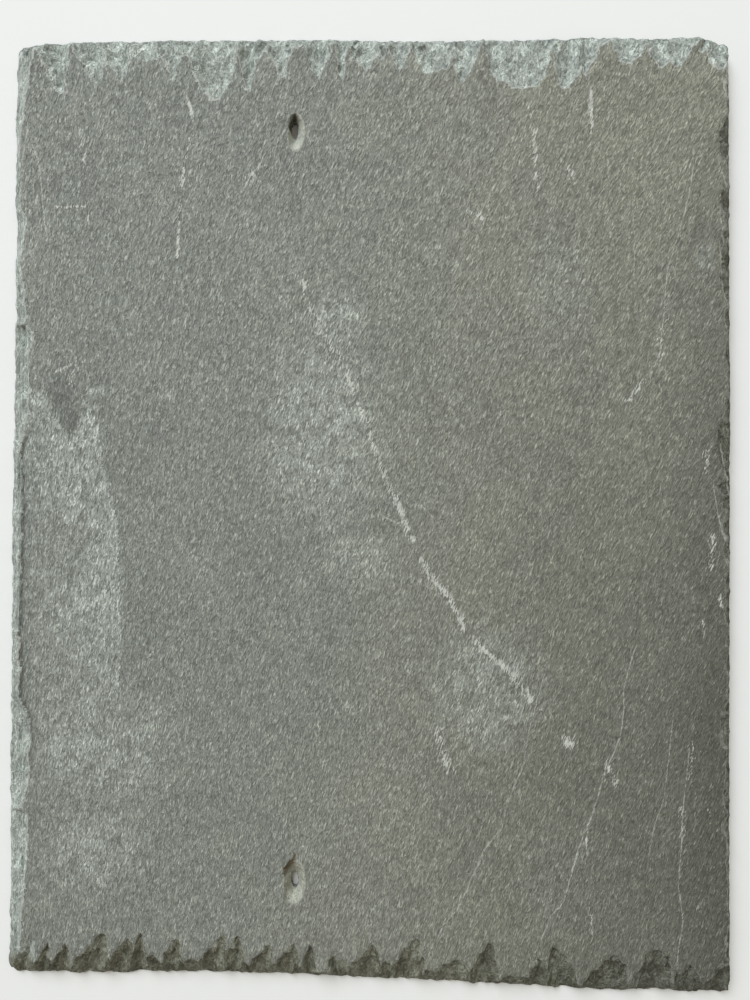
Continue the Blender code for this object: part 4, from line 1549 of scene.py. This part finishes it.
def build_floor(settings):
    """The pale floor, just under the slate."""
    half = settings.floor_size / 2
    mesh = bpy.data.meshes.new("floor")
    corners = [(-half, -half), (half, -half), (half, half), (-half, half)]
    mesh.from_pydata([(x, y, FLOOR_DROP) for x, y in corners], [], [(0, 1, 2, 3)])
    mesh.materials.append(floor_material(settings))
    floor = bpy.data.objects.new("floor", mesh)
    bpy.context.scene.collection.objects.link(floor)


def area_light(name, power, size, place, colour):
    """A soft light at a place, turned to the middle of the slate."""
    data = bpy.data.lights.new(name, "AREA")
    data.shape = "RECTANGLE"
    data.size, data.size_y = size
    data.energy = power
    data.color = colour
    lamp = bpy.data.objects.new(name, data)
    bpy.context.scene.collection.objects.link(lamp)
    lamp.location = place
    lamp.rotation_mode = "QUATERNION"
    lamp.rotation_quaternion = (-Vector(place)).to_track_quat("-Z", "Y")


def build_lights(settings):
    """One soft window light, and the even light of the room."""
    place = from_angles(WINDOW_TURN, WINDOW_RISE, WINDOW_DISTANCE)
    area_light("window light", settings.key_power, WINDOW_SIZE, place, settings.key_colour)
    world = bpy.data.worlds.new("room")
    bpy.context.scene.world = world
    world.use_nodes = True
    shade = world.node_tree.nodes["Background"]
    shade.inputs["Color"].default_value = opaque(settings.ambient_colour)
    shade.inputs["Strength"].default_value = settings.ambient
    bpy.context.scene.view_settings.view_transform = "Standard"


def from_angles(left_of_top, elevation, distance):
    """A place round the slate: an angle to the left of its top edge, a height angle and a distance."""
    turn, rise = math.radians(left_of_top), math.radians(elevation)
    flat = distance * math.cos(rise)
    return (-flat * math.sin(turn), flat * math.cos(turn), distance * math.sin(rise))


def build_camera(settings):
    """The camera, looking straight down."""
    data = bpy.data.cameras.new("camera")
    data.lens = settings.lens
    data.sensor_width = SENSOR_WIDTH
    data.clip_start = NEAREST_SEEN
    camera = bpy.data.objects.new("camera", data)
    bpy.context.scene.collection.objects.link(camera)
    camera.location = (settings.camera_x, settings.camera_y, settings.camera_height)
    bpy.context.scene.camera = camera


class SLATE_PT_panel(bpy.types.Panel):
    """Lists the settings and the operators in the sidebar"""

    bl_label = "Dressed slate"
    bl_idname = "SLATE_PT_panel"
    bl_space_type = "VIEW_3D"
    bl_region_type = "UI"
    bl_category = "Slate"

    def draw(self, context):
        for group in (context.scene.slate_settings, context.scene.slate_stage):
            column = self.layout.column()
            for name in group.bl_rna.properties.keys():
                if name not in ("rna_type", "name"):
                    column.prop(group, name)
        for operator in (SLATE_OT_slab, SLATE_OT_stage):
            self.layout.operator(operator.bl_idname)


CLASSES = (SlateSettings, StageSettings, SLATE_OT_slab, SLATE_OT_stage, SLATE_PT_panel)


def register():
    """Adds the classes and the settings they read."""
    for item in CLASSES:
        bpy.utils.register_class(item)
    bpy.types.Scene.slate_settings = PointerProperty(type=SlateSettings)
    bpy.types.Scene.slate_stage = PointerProperty(type=StageSettings)


def unregister():
    """Takes the classes and their settings away again."""
    del bpy.types.Scene.slate_settings
    del bpy.types.Scene.slate_stage
    for item in reversed(CLASSES):
        bpy.utils.unregister_class(item)


def main():
    """Builds the slate and its stage."""
    register()
    bpy.ops.slate.slab()
    bpy.ops.slate.stage()


if __name__ == "__main__":
    main()
